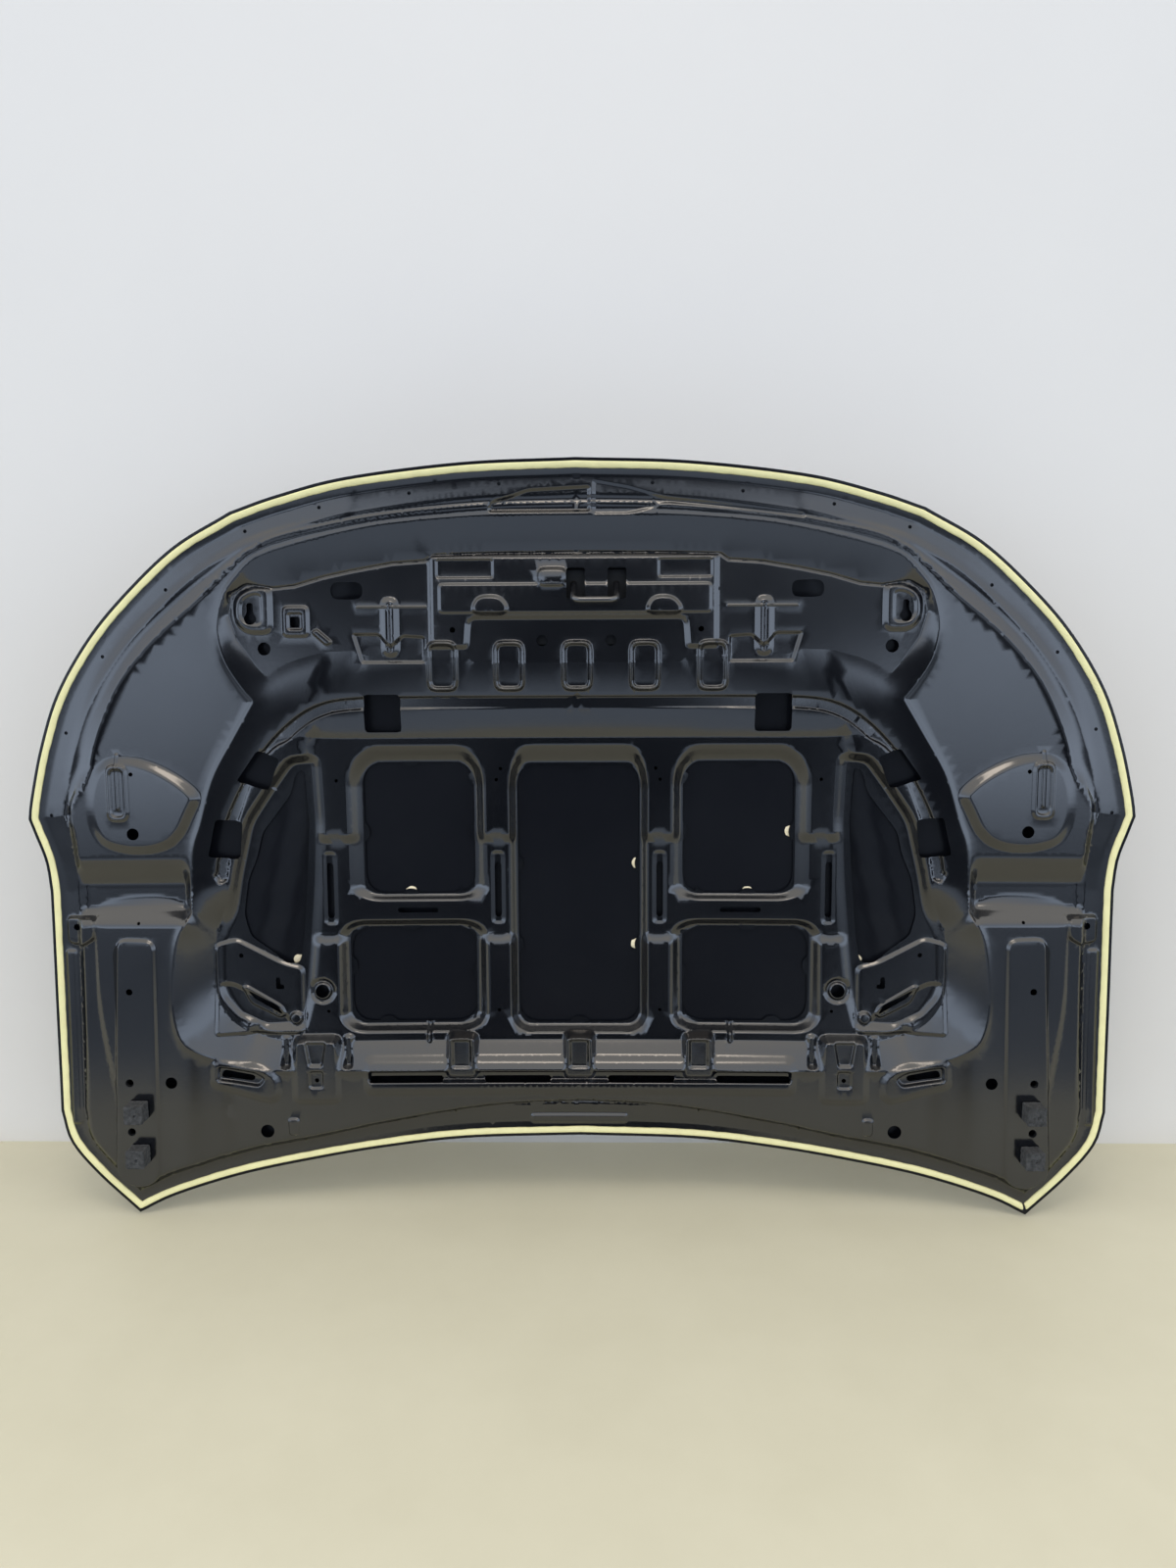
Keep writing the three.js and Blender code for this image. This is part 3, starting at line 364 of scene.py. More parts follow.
def depth_in(x, y, outline, half=False):
    """How far places lie inside an outline, negative outside; a half outline is open at x = 0."""
    nearest = np.full(x.shape, 1e9)
    ends = outline[1:] if half else np.roll(outline, -1, axis=0)
    for (x0, y0), (x1, y1) in zip(outline, ends):
        dx, dy = x1 - x0, y1 - y0
        size = dx * dx + dy * dy
        if size:
            t = np.clip(((x - x0) * dx + (y - y0) * dy) / size, 0, 1)
            nearest = np.minimum(nearest, (x - x0 - t * dx) ** 2 + (y - y0 - t * dy) ** 2)
    return np.where(inside(x, y, outline), 1, -1) * np.sqrt(nearest)


def ramp(t, fillet=0.2):
    """Nought to one over t from nought to one, straight with a rounded foot and top."""

    def eased(t):
        return np.where(t < -fillet, 0, np.where(t > fillet, t, (t + fillet) ** 2 / (4 * fillet)))

    return eased(t) - eased(t - 1)


step_half = joined(
    curve_through([(0, 964), (118, 961), (243, 950), (330, 935), (386, 922), (430, 907)], 10),
    curve_through([
        (430, 907), (468, 885), (519, 847), (572, 801), (615, 751), (643, 701), (664, 644), (672, 592),
        (674, 545),
    ], 10),
    curve_through([(674, 545), (668, 505), (666, 440), (670, 150)], 10),
    curve_through([(670, 150), (664, 112), (637, 74), (600, 34)], 10),
    curve_through([(600, 34), (550, 59), (445, 88), (352, 105), (259, 124), (127, 145), (0, 152)], 10),
)
basin_half = joined(
    curve_through([(0, 937), (119, 936), (243, 926), (331, 909), (387, 894)], 10),
    curve_through([
        (387, 894), (414, 882), (432, 864), (448, 844), (458, 818), (462, 790), (455, 755), (436, 722),
        (420, 702),
    ], 8),
    curve_through([(420, 702), (448, 655), (478, 602), (497, 541), (509, 502), (514, 423)], 10),
    curve_through([(514, 423), (534, 377), (541, 300), (533, 253), (512, 233), (467, 214), (422, 204)], 10),
    curve_through([(422, 204), (297, 203), (150, 204), (0, 204)], 10),
)
bowl_half = joined(
    curve_through([(0, 652), (160, 652), (318, 652), (365, 656)], 10),
    curve_through([(365, 656), (400, 640), (424, 608), (444, 560), (460, 508), (472, 432)], 10),
    curve_through([(472, 432), (486, 392), (492, 330), (484, 292), (462, 264), (428, 247), (390, 240)], 10),
    curve_through([(390, 240), (250, 240), (120, 240), (0, 240)], 10),
)
plateau_half = np.array([
    (0, 889), (107, 888), (184, 886), (194, 879), (237, 876), (288, 867), (326, 859), (363, 848),
    (391, 845), (424, 850), (444, 838), (449, 812), (440, 782), (418, 750), (405, 735), (392, 744),
    (365, 756), (328, 766), (290, 767), (270, 760), (141, 758), (134, 751), (0, 751),
], float)
terrace = curve_through([
    (0, 699), (215, 699), (300, 697), (340, 688), (372, 668), (404, 636), (430, 598), (452, 556), (466, 516),
    (474, 470),
], 8)


def between(x, y):
    """The slopes inside the basin: from its rim to the plateau and down to the bowl."""
    rim = 1 / np.maximum(0.05, np.abs(depth_in(x, y, basin_half, True)))
    flat_top = 1 / np.maximum(0.05, np.abs(depth_in(x, y, plateau_half, True)))
    bowl = 1 / np.maximum(0.05, np.abs(depth_in(x, y, bowl_half, True)))
    total = (crest_level(x, y) + 1.5) * rim + plateau_level(x) * flat_top + rib_level(x, y) * bowl
    return total / (rim + flat_top + bowl)


forms = []
cuts = []


def press(outline, run, rise=None, level=None, sides=(-1, 1), fillet=0.2):
    """Notes a pressed form: inside the outline the sheet moves by a rise, or to a level, over a run."""
    outline = np.asarray(outline, float)
    forms.append({
        "depth": lambda x, y: depth_in(x, y, outline) / run,
        "rows": lambda t, pitch: row_inside(outline, t * run, pitch),
        "box": (outline.min(axis=0), outline.max(axis=0)),
        "run": run, "rise": rise, "level": level, "sides": sides, "fillet": fillet,
    })


def well(left, right, bottom, top, runs, round_by, level, sides=(-1, 1)):
    """Notes a rectangular pocket whose four walls (left, right, bottom, top) have runs of their own."""
    run_left, run_right, run_bottom, run_top = runs

    def depth(x, y):
        across = np.minimum((x - left) / run_left, (right - x) / run_right)
        along = np.minimum((y - bottom) / run_bottom, (top - y) / run_top)
        corner = np.hypot(np.maximum(0, 1 - across / round_by), np.maximum(0, 1 - along / round_by))
        return round_by * (1 - corner)

    def rows(t, pitch):
        radius = max(1, (round_by - t) * (run_left + run_right + run_bottom + run_top) / 4)
        across = (left + t * run_left, right - t * run_right)
        along = (bottom + t * run_bottom, top - t * run_top)
        return walked(box(*across, *along, radius, 6), pitch, closed=True)

    forms.append({
        "depth": depth, "rows": rows, "box": (np.array((left, bottom)), np.array((right, top))),
        "run": min(runs), "rise": None, "level": level, "sides": sides, "fillet": 0.2,
    })


def cut(outline, sides=(-1, 1), pitch=None):
    """Notes an opening with this outline, walked at a pitch where its corners are round."""
    outline = walked(outline, pitch, closed=True) if pitch else np.asarray(outline, float)
    for side in sides:
        cuts.append(outline * (side, 1))


def window(left, right, bottom, top, radius, tabs, sides=(-1, 1)):
    """A window with small round tabs at its edges: (edge, place along it)."""
    line = walked(box(left, right, bottom, top, radius, 6), 3.2, closed=True)
    for edge, at in tabs:
        axis = 1 if edge in "lr" else 0
        wall = {"l": left, "r": right, "b": bottom, "t": top}[edge]
        into = 1 if edge in "lb" else -1
        near = np.abs(line[:, 1 - axis] - wall) < 2
        bulge = np.sqrt(np.clip(1 - ((line[:, axis] - at) / 11) ** 2, 0, 1)) * 6.5
        line[near, 1 - axis] += (into * bulge)[near]
    cut(line, sides)


def pocket_level(x, y):
    return skin_level(x, y) + POCKET_LIFT


well(125, 307, 431, 641, (13, 15, 7, 18), 3, pocket_level)
window(140, 288, 440, 619, 30, [("l", 524), ("r", 524), ("b", 228), ("t", 225), ("l", 600), ("b", 155)])
well(123, 325, 250, 405, (14, 12, 9, 8), 3, pocket_level)
window(140, 309, 263, 394, 30, [("l", 330), ("r", 340), ("b", 262), ("t", 228)])
well(-93, 93, 248, 641, (9, 9, 9, 20), 3, pocket_level, sides=(1,))
middle_tabs = [("l", 368), ("r", 368), ("l", 480), ("r", 480), ("t", 0), ("b", 0)]
window(-82, 82, 261, 615, 28, middle_tabs, sides=(1,))
side_floor = rounded([
    (342, 632), (384, 630), (412, 592), (444, 545), (462, 470), (470, 420), (488, 385), (490, 322),
    (476, 290), (456, 265), (420, 254), (370, 254), (358, 300), (351, 370), (343, 460), (339, 540),
], 14)
press(side_floor, 11, level=lambda x, y: skin_crown(x, y) + POCKET_LIFT)
side_window = rounded([
    (364, 612), (375, 608), (383, 578), (402, 553), (423, 526), (430, 495), (444, 462), (451, 415),
    (443, 384), (418, 366), (396, 346), (378, 347), (372, 380), (365, 460), (360, 540),
], 8)
cut(side_window, pitch=4)

# Ribs: a slot in each, small holes, a ring around a hole, and the cross bars' slots
INNER_RIB_X = 109
OUTER_RIB_FOOT_X = 349
OUTER_RIB_HEAD_X = 329
OUTER_RIB_LEAN = OUTER_RIB_HEAD_X - OUTER_RIB_FOOT_X
OUTER_SLOT_X = OUTER_RIB_FOOT_X + OUTER_RIB_LEAN * float(soft((446 - 330) / 200)) - 2
for slot_x, head_x, foot_x in ((INNER_RIB_X, INNER_RIB_X, INNER_RIB_X), (OUTER_SLOT_X, 321, 340)):
    press(box(slot_x - 9.5, slot_x + 9.5, 398, 500, 7), 5, rise=-1.6)
    cut(box(slot_x - 4.5, slot_x + 4.5, 408, 484, 4.4), pitch=4)
    cut(disc(head_x, 596, 2.3, 10))
    cut(disc(foot_x, 281, 2.3, 10))
cut(disc(103, 611, 2.3, 10))
press(disc(348, 309, 19), 5, rise=-3)
press(disc(348, 309, 13.5), 3, rise=4)
cut(disc(348, 309, 9))
cut(box(190, 245, 415, 422, 3), pitch=4)

# The wall of the bowl: openings down to the skin, and the small pads at the tail of the side pocket
cut(box(232, 280, 660, 710, 4), pitch=5)
cut(rounded([(420, 638), (392, 626), (410, 584), (449, 597)]), pitch=4)
cut(rounded([(478, 547), (444, 543), (451, 492), (490, 496)]), pitch=4)
press(rounded([(372, 342), (400, 350), (462, 384), (492, 376), (492, 250), (372, 250)], 8), 5, rise=3.5)
press(rounded([
    (488, 322), (470, 324), (430, 304), (394, 276), (386, 260), (420, 256), (462, 276), (482, 300),
], 8), 6, rise=-3)
press(rounded([(458, 316), (450, 320), (402, 290), (396, 276), (406, 270), (446, 292)], 5), 3, rise=2.5)
cut(rounded([(449, 312), (441, 300), (402, 276), (408, 290)]), pitch=3)
cut(rounded([(411, 328), (411, 312), (400, 312), (400, 318), (405, 318), (405, 328)], 1), pitch=3)
cut(disc(456, 359, 3, 12))
cut(disc(380, 334, 0.9, 6))
press(disc(384, 272, 10), 4, rise=5)

# Front beam: raised pads around the striker, two half rings, five drain forms, and small forms beside
press(rounded([
    (-191, 890), (183, 890), (183, 768), (141, 768), (138, 806), (-137, 806), (-140, 768), (-191, 768),
], 6), 6, rise=5, sides=(1,))
press(box(-178, 174, 813, 853, 6), 3.5, rise=2.5, sides=(1,))
press(box(-181, -106, 858, 884, 4), 3, rise=-2.5, sides=(1,))
press(box(104, 175, 858, 884, 4), 3, rise=-2.5, sides=(1,))
left_ring = rounded([(-89, 811), (-133, 811), (-136, 824), (-126, 838), (-98, 838), (-86, 824)], 12, 5)
right_ring = rounded([(135, 811), (91, 811), (88, 822), (98, 837), (124, 837), (137, 823)], 12, 5)
for ring in (left_ring, right_ring):
    press(ring, 4.5, rise=4, sides=(1,))
for place in (-175, -88, 0, 88, 176):
    press(box(place - 21, place + 21, 713, 780, 13), 3.5, rise=4, sides=(1,))
    press(box(place - 17, place + 17, 717, 776, 10), 3.5, rise=-4, sides=(1,))
press(box(-52, -10, 847, 873, 12), 5, rise=6, sides=(1,), fillet=0.35)
for x, y, radius in ((-45, 779, 7), (44, 779, 7), (-160, 793, 3.6), (160, 793, 3.6)):
    cut(disc(x, y, radius), (1,))
for low, high in ((-13, 11), (40, 64)):
    cut(box(low, high, 832, 872, 3), (1,), pitch=4)
press(rounded([(392, 788), (392, 851), (420, 851), (442, 838), (444, 806), (428, 788)], 14, 5), 6, rise=5)
press(rounded([(404, 799), (404, 842), (420, 842), (434, 832), (435, 808), (424, 799)], 9, 5),
      3.5, rise=-2.5)
cut(rounded([
    (417, 829), (425, 829), (425, 816), (430, 809), (425, 801), (417, 801), (412, 809), (417, 816),
], 3), pitch=2.5)
cut(disc(405, 770, 8.5))
press(box(345, 381, 784, 826, 8), 4, rise=3.5, sides=(-1,))
press(box(353, 374, 793, 817, 4), 3, rise=-3, sides=(-1,))
cut(box(358, 370, 797, 811, 2), (-1,), pitch=3)
press(rounded([(336, 797), (345, 791), (324, 772), (314, 778)], 4), 3, rise=3.5, sides=(-1,))
cut(box(276, 317, 833, 855, 10), pitch=3)
press(box(229.5, 253.5, 758, 836, 12), 6, rise=4)
press(box(239.5, 243.5, 764, 828, 2), 1.8, rise=-2.5)
press(rounded([(292, 790), (280, 750), (196, 750), (196, 786), (226, 788), (241, 774), (256, 790)]),
      4, rise=-4)
press(box(192, 286, 821, 825, 1.5), 2, rise=1.8)

# Nose: a joggle in the step, and the small holes of the band
press(rounded([(-112, 940), (-112, 953), (-60, 970), (19, 974), (19, 940)], 5), 4, rise=-4, sides=(1,))
press(rounded([(21, 981), (21, 936), (66, 936), (116, 949), (290, 929), (290, 938), (116, 959), (66, 973)]),
      4, rise=-1.8, sides=(1,))
band_holes = ((97, 976), (211, 965), (326, 948), (422, 919), (528, 846), (615, 761), (669, 662), (695, 553))
for x, y in band_holes:
    cut(disc(x, y, 2.4, 10))
cut(box(-4, 6, 981, 988, 1.5), (1,))

# Wings: an eye-shaped pad with a wire-like rib
eye = rounded([
    (643, 590), (634, 614), (618, 628), (598, 632), (572, 629), (545, 619), (514, 600), (492, 578),
    (506, 552), (517, 528), (535, 510), (560, 502), (592, 501), (625, 510), (640, 530), (646, 560),
], 16, 4)
press(eye, 11, level=lambda x, y: 52.5 + 0.012 * (y - 500))
press(box(587, 617, 545, 622, 12, 5), 3.5, rise=3)
press(box(592, 612, 551, 616, 9, 5), 2.5, rise=-3)
press(box(599, 605, 560, 636, 3, 4), 2.5, rise=3)
cut(disc(584, 529, 8))
cut(disc(583, 608, 2.8, 12))

# Hinge pads: a long flat land on each platform, and the steps between the platform and the hem
press(rounded([(614, 390), (561, 388), (566, 60), (578, 46), (598, 42), (620, 50), (630, 66)], 16, 5),
      4, level=lambda x, y: HINGE_PAD_Z + 0 * x)
BOLT_HOLE_RADIUS = 5.5
LOCATOR_HOLE_RADIUS = 4.5
HINGE_LOCATOR = (598, 317)
HINGE_BOLTS = ((603, 192), (603, 124))
for place in HINGE_BOLTS:
    cut(disc(*place, BOLT_HOLE_RADIUS))
cut(disc(*HINGE_LOCATOR, LOCATOR_HOLE_RADIUS))
cut(disc(583, 409, 2.2, 10))
cut(disc(548, 191, 8))
cut(disc(424, 119, 9.2))
press(rounded([(684, 418), (640, 418), (640, 388), (660, 376), (684, 380)], 8), 4, rise=6)
cut(disc(668, 403, 4.5))
press(box(672, 688, 130, 372, 5), 4, rise=3)

# Rear beam: a long channel with slots, drain forms, and a pad with a keyhole on each side
press(box(-292, 292, 168, 222, 13), 9, rise=4, sides=(1,))
press(box(-286, 286, 185, 203, 6), 4, rise=-8, sides=(1,))
for low, high in ((38, 129), (184, 284)):
    cut(box(low, high, 186, 194, 3.5), pitch=5)


def beam_land(y, rise):
    """A level: that of the rear beam at a height y, and a rise."""
    return lambda x, _: crest_level(x, y) + rise


for place in (-159, 0, 161):
    press(box(place - 22, place + 22, 190, 251, 9), 5, level=beam_land(204, 1.5), sides=(1,))
    press(box(place - 14, place + 14, 204, 246, 5), 4, rise=-4, sides=(1,))
press(box(322, 389, 156, 250, 13), 8, level=beam_land(196, 4))
press(rounded([(340, 244), (372, 244), (366, 208), (346, 208)], 5), 4, rise=-5)
for low, high in ((390, 405), (306, 321)):
    press(box(low, high, 204, 250, 6), 5, level=beam_land(196, -9))
press(box(345, 366, 178, 204, 6), 3, rise=-3)
cut(disc(355, 190, 3, 12))
press(rounded([(497, 222), (430, 214), (404, 198), (402, 168), (416, 156), (497, 182)], 10), 8, rise=4)
press(rounded([(487, 213), (438, 204), (422, 194), (432, 181), (489, 191)], 6), 4, rise=-6)
cut(rounded([(480, 206), (438, 197), (440, 189), (484, 196)]), pitch=3)
press(box(-68, 66, 119, 134, 5), 4, rise=2.5, sides=(1,))
press(box(380, 396, 112, 138, 6), 3, rise=3)
press(box(200, 208, 236, 292, 3), 3, rise=5)


def band_lift(depth, y):
    """From the flange in the hem to the foot of the step: along the skin, out to a band, and back."""
    out = 5 + 3 * soft((y - 850) / 100)
    fall = out - 0.4 - 3.2 * soft((y - 850) / 80)
    return 1 + out * ramp((depth - 21) / 24, 0.12) - fall * ramp((depth - 46) / 9, 0.12)


def valley(x, y):
    """The hollow in front of each hinge platform."""
    a = np.abs(x)
    sides = soft((a - 512) / 16) * soft((680 - a) / 14)
    return 15 * soft((498 - y) / 42) * soft((y - 405) / 24) * sides


def inner_level(x, y):
    """The height of the inner panel's seen side at places across the panel."""
    a = np.abs(x)
    depth = depth_in(a, y, trim_half, True)
    z = skin_level(x, y) + band_lift(depth, y)
    wide = 9 + 20 * soft((a - 380) / 120) * soft((y - 560) / 60) * soft((960 - y) / 60)
    step_depth = depth_in(a, y, step_half, True)
    to_crest = ramp(step_depth / wide, 0.15)
    z += (crest_level(a, y) - valley(a, y) - z) * to_crest
    z += 1.2 * np.exp(-(((step_depth - wide - 3) / 2.6) ** 2)) * soft((y - 560) / 60)
    in_basin = depth_in(a, y, basin_half, True)
    z += 1.5 * np.exp(-((in_basin / 5) ** 2)) * to_crest
    basin = in_basin > 0
    z[basin] = between(a[basin], y[basin])
    ledge = ramp((9 - np.abs(depth_in(a, y, terrace, True))) / 3, 0.2)
    aim = 30.5 + 4.5 * soft((a - 280) / 180) - 3 * soft((620 - y) / 150)
    z += (aim - z) * np.where(basin, ledge, 0)
    on_top = depth_in(a, y, plateau_half, True)
    top = ramp(on_top / 2 + 0.5)
    z += (plateau_level(a) - z) * np.where(basin, top, 0)
    z -= 1.8 * np.exp(-(((on_top + 2.4) / 1.5) ** 2)) * basin * soft((y - 820) / 30)
    low = ramp(depth_in(a, y, bowl_half, True) / 4 + 0.5)
    z += (rib_level(x, y) - z) * low
    for form in forms:
        margin = form["run"] * form["fillet"] + 0.5
        for side in form["sides"]:
            near = in_bounds(side * x, y, form["box"][0] - margin, form["box"][1] + margin)
            if near.any():
                px, py = side * x[near], y[near]
                s = ramp(form["depth"](px, py), form["fillet"])
                aim = z[near] + form["rise"] if form["level"] is None else form["level"](px, py)
                z[near] += (aim - z[near]) * s
    return np.maximum(z, skin_level(x, y) + 1)


def row_inside(outline, offset, pitch, half=False):
    """Places in a row at a depth along an outline."""
    line = walked(outline, pitch, closed=not half)
    ahead = np.gradient(line, axis=0) if half else np.roll(line, -1, axis=0) - np.roll(line, 1, axis=0)
    normal = np.column_stack((ahead[:, 1], -ahead[:, 0]))
    normal /= np.maximum(1e-9, np.linalg.norm(normal, axis=1))[:, None]
    probe = line + normal * 0.2
    turned = np.where(inside(*probe.T, outline), 1, -1)[:, None]
    row = line + normal * turned * offset
    true = depth_in(*row.T, outline, half)
    return row[np.abs(true - offset) < 0.3 * abs(offset) + 0.3]


def rows_along(outline, offsets, pitch):
    """Rows of places along a half outline at several depths."""
    return np.vstack([row_inside(outline, offset, pitch, True) for offset in offsets])


def thinned(places, gap):
    """Drops each place that has an earlier one closer than a gap."""
    kept = {}
    out = []
    for x, y in places:
        i, j = math.floor(x / gap), math.floor(y / gap)
        cells = [(i + a, j + b) for a in (-1, 0, 1) for b in (-1, 0, 1)]
        near = [kept[cell] for cell in cells if cell in kept]
        if all((x - u) ** 2 + (y - v) ** 2 > gap * gap for u, v in near):
            kept[(i, j)] = (x, y)
            out.append((x, y))
    return np.array(out)


def both_sides(places):
    """Places with their mirror images."""
    return np.vstack((places, places * (-1, 1)))


walls = []
for form in reversed(forms):
    run = form["run"]
    count = max(3, min(5, round(1.4 * run / 1.3)))
    pitch = 3.2 if run < 4.5 else 4.4
    row = np.vstack([form["rows"](t, pitch) for t in np.linspace(-0.2, 1.2, count + 1)])
    walls += [row * (side, 1) for side in form["sides"]]
main = [
    rows_along(trim_half, [14, 19, 21, 23.5, 33, 42, 45, 47.5, 51, 54.5, 57.5], 8),
    rows_along(step_half, [-1.2, 0, 1.4, 5, 8, 10, 12, 15, 20, 25, 28, 30.5, 33, 36], 8),
    rows_along(basin_half, [-8, -4, -2, 0, 2, 5], 5),
    rows_along(plateau_half, [-5.5, -4, -3, -2, -1, 0.2, 1.4], 4),
    rows_along(bowl_half, [-2.6, -1, 1, 2.6], 5),
    rows_along(terrace, [-9.6, -8, -6.6, -5.2, 5.2, 6.6, 8, 9.6], 5),
]
flange = inset(trim, SKIN_THICKNESS + 0.5)
edge_loops = [flange] + cuts
towers = np.vstack((grid_places(5, (462, 690, 392, 505)), grid_places(4, (600, 652, 35, 400))))
free = np.vstack(walls + [both_sides(np.vstack(main + [towers])), grid_places(12, (-700, 700, 30, 990))])
sheet_edge = inset(trim, 9)
free = free[inside(*free.T, sheet_edge)]
for loop in cuts:
    near = in_bounds(*free.T, loop.min(axis=0) - 1, loop.max(axis=0) + 1)
    gone = near.copy()
    gone[near] = depth_in(*free[near].T, loop) > -0.9
    free = free[~gone]
LEAST_GAP = 0.95
free = thinned(free, LEAST_GAP)


def in_sheet(x, y):
    """Which places are on the sheet and in none of its openings."""
    kept = inside(x, y, flange)
    for loop in cuts:
        near = in_bounds(x, y, loop.min(axis=0), loop.max(axis=0))
        kept[near] &= ~inside(x[near], y[near], loop)
    return kept


loops = []
total = 0
for loop in edge_loops:
    loops.append(np.arange(total, total + len(loop)))
    total += len(loop)
edge_points = np.vstack(edge_loops)
flat, faces = triangles_of(np.vstack((edge_points, free)), loops, in_sheet)
front = np.column_stack((flat, inner_level(*flat.T)))
BACK_SHARE = 5
coarse = free[::BACK_SHARE]
flat_back, faces_back = triangles_of(np.vstack((edge_points, coarse)), loops, in_sheet)
rim_count = len(edge_points)
back_level = inner_level(*flat_back.T)
for step_x, step_y in ((4, 0), (-4, 0), (0, 4), (0, -4)):
    beside = inner_level(flat_back[:, 0] + step_x, flat_back[:, 1] + step_y)
    back_level[rim_count:] = np.minimum(back_level, beside)[rim_count:]
back = np.column_stack((flat_back, back_level - INNER_THICKNESS))
panel_faces = [tuple(face) for face in faces] + [(c, b, a) for a, b, c in faces_back + len(front)]
for number, loop in enumerate(loops):
    for a, b in zip(loop, np.roll(loop, -1)):
        panel_faces.append((a, b, b + len(front), a + len(front)))
NUDGE = 0.3


def slope_along(way_x, way_y):
    """The inner panel's slope at the front places, along one way."""
    ahead = inner_level(flat[:, 0] + NUDGE * way_x, flat[:, 1] + NUDGE * way_y)
    behind = inner_level(flat[:, 0] - NUDGE * way_x, flat[:, 1] - NUDGE * way_y)
    return (ahead - behind) / (2 * NUDGE)


normals = np.column_stack((-slope_along(1, 0), -np.ones(len(flat)), -slope_along(0, 1)))
normals /= np.linalg.norm(normals, axis=1)[:, None]
panel_paint = paint("painted_inner", (0.003, 0.0035, 0.005), 0.15, 0.06, 0.012, 0.74)
panel = mesh_object("inner_pressing", to_frame(np.vstack((front, back))), panel_faces, panel_paint)
back_normals = np.tile((0.0, 1.0, 0.0), (len(back), 1))
corner_normals = np.vstack((normals, back_normals))
panel.data.normals_split_custom_set_from_vertices([tuple(n) for n in corner_normals])
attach(panel, "root")
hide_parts("inner_panel")

# Hem sealer: a bead of pale yellow sealant laid by a nozzle over the end of the hem, right round
# the bonnet, its two ends meeting at one hinge corner with a hair's gap.
def plain(name, colour, spot, scale, contrast, roughness=0.9, grain=0.0, grain_scale=300):
    """A dull mottled stuff with a fine grain."""
    made, tree, shader, place = new_material(name)
    cloud = add_node(tree, "TexNoise", Scale=scale, Detail=9, Roughness=0.62)
    spread = add_node(tree, "MapRange", From_Min=0.5 - contrast, From_Max=0.5 + contrast)
    tree.links.new(place, cloud.inputs["Vector"])
    tree.links.new(cloud.outputs["Fac"], spread.inputs["Value"])
    tree.links.new(blended(tree, colour, spot, spread.outputs["Result"]), shader.inputs["Base Color"])
    shader.inputs["Roughness"].default_value = roughness
    if grain:
        fine = add_node(tree, "TexNoise", Scale=grain_scale, Detail=4)
        bump = add_node(tree, "Bump", Strength=grain, Distance=0.001)
        tree.links.new(place, fine.inputs["Vector"])
        tree.links.new(fine.outputs["Fac"], bump.inputs["Height"])
        tree.links.new(bump.outputs["Normal"], shader.inputs["Normal"])
    return made


def ring_faces(rings, around):
    """Faces between rings of points that follow one another."""
    made = []
    for k in range(rings - 1):
        for i in range(around):
            a = k * around + i
            b = k * around + (i + 1) % around
            made.append((a, b, b + around, a + around))
    return made


def wander(t, seed):
    """A slow wandering value between about -1 and 1."""
    return (np.sin(t * 1.0 + seed) + np.sin(t * 2.37 + 2.1 * seed) + np.sin(t * 5.13 + 3.7 * seed)) / 3


HEM_TOP = hem_gap + SKIN_THICKNESS
corner_start = int(np.argmin((trim[:, 0] - HINGE_CORNER[0]) ** 2 + (trim[:, 1] - HINGE_CORNER[1]) ** 2))
bead_line = np.roll(trim, -corner_start, axis=0)
bead_section = [
    (4.1, HEM_TOP + 0.1), (4.3, HEM_TOP + 0.8), (5.6, HEM_TOP + 1.35), (8.0, HEM_TOP + 1.5),
    (10.3, HEM_TOP + 1.1), (11.8, HEM_TOP + 0.1), (12.4, 1.15), (10.7, 1.2), (10.6, HEM_TOP + 0.05),
]
ways = [inset(bead_line, depth) for depth, _ in bead_section]
stations = len(bead_line) * 3
bead_points = []
for k in range(stations):
    at = k * len(bead_line) / (stations - 1)
    low = int(at) % len(bead_line)
    high = (low + 1) % len(bead_line)
    part = at - int(at)
    if k == stations - 1:
        low, high, part = 0, 0, 0
    ends = min(k, stations - 1 - k)
    swell = (0.35, 0.85, 1.0)[min(ends, 2)]
    pull = 0.35 * wander(k * 0.21, 1) + 0.12 * wander(k * 1.3, 5)
    middle = ways[3][low] * (1 - part) + ways[3][high] * part
    for (depth, rise), way in zip(bead_section, ways):
        place = way[low] * (1 - part) + way[high] * part
        if depth > 9:
            place = place + (place - middle) / max(1e-6, np.linalg.norm(place - middle)) * pull
        place = middle + (place - middle) * swell
        lift = rise + (0.12 * wander(k * 0.4, 9) * (rise > HEM_TOP + 0.5))
        bead_points.append((*place, skin_level(place[:1], place[1:])[0] + lift))
bead_points = np.array(bead_points)
gap_push = np.array([(1.6, 1.2, 0)] * len(bead_section))
bead_points[: len(bead_section)] += gap_push * (-1, 1, 0)
bead_points[-len(bead_section):] += gap_push * (1, 1, 0)
around = len(bead_section)
bead_faces = ring_faces(stations, around)
bead_faces.append(tuple(range(around - 1, -1, -1)))
bead_faces.append(tuple((stations - 1) * around + i for i in range(around)))
sealer_look = plain("sealer", (0.80, 0.76, 0.40), (0.68, 0.63, 0.33), 55, 0.32, 0.5, 0.35, 420)
bead = mesh_object("sealer_bead", to_frame(bead_points), bead_faces, sealer_look)
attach(bead, "root")
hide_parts("hem_sealer")

# Striker: one round steel rod bent to a loop, its two feet welded to the plate behind the front
# beam, painted black like the panel. It leans down out of its two holes.
STRIKER_X = 24
STRIKER_Y = 852
STRIKER_WIDTH = 55
STRIKER_REACH = 42
STRIKER_TILT = 0.56
ROD_RADIUS = 4
LATCH_FACE = PLATEAU_Z - 9 - INNER_THICKNESS - CLEARANCE


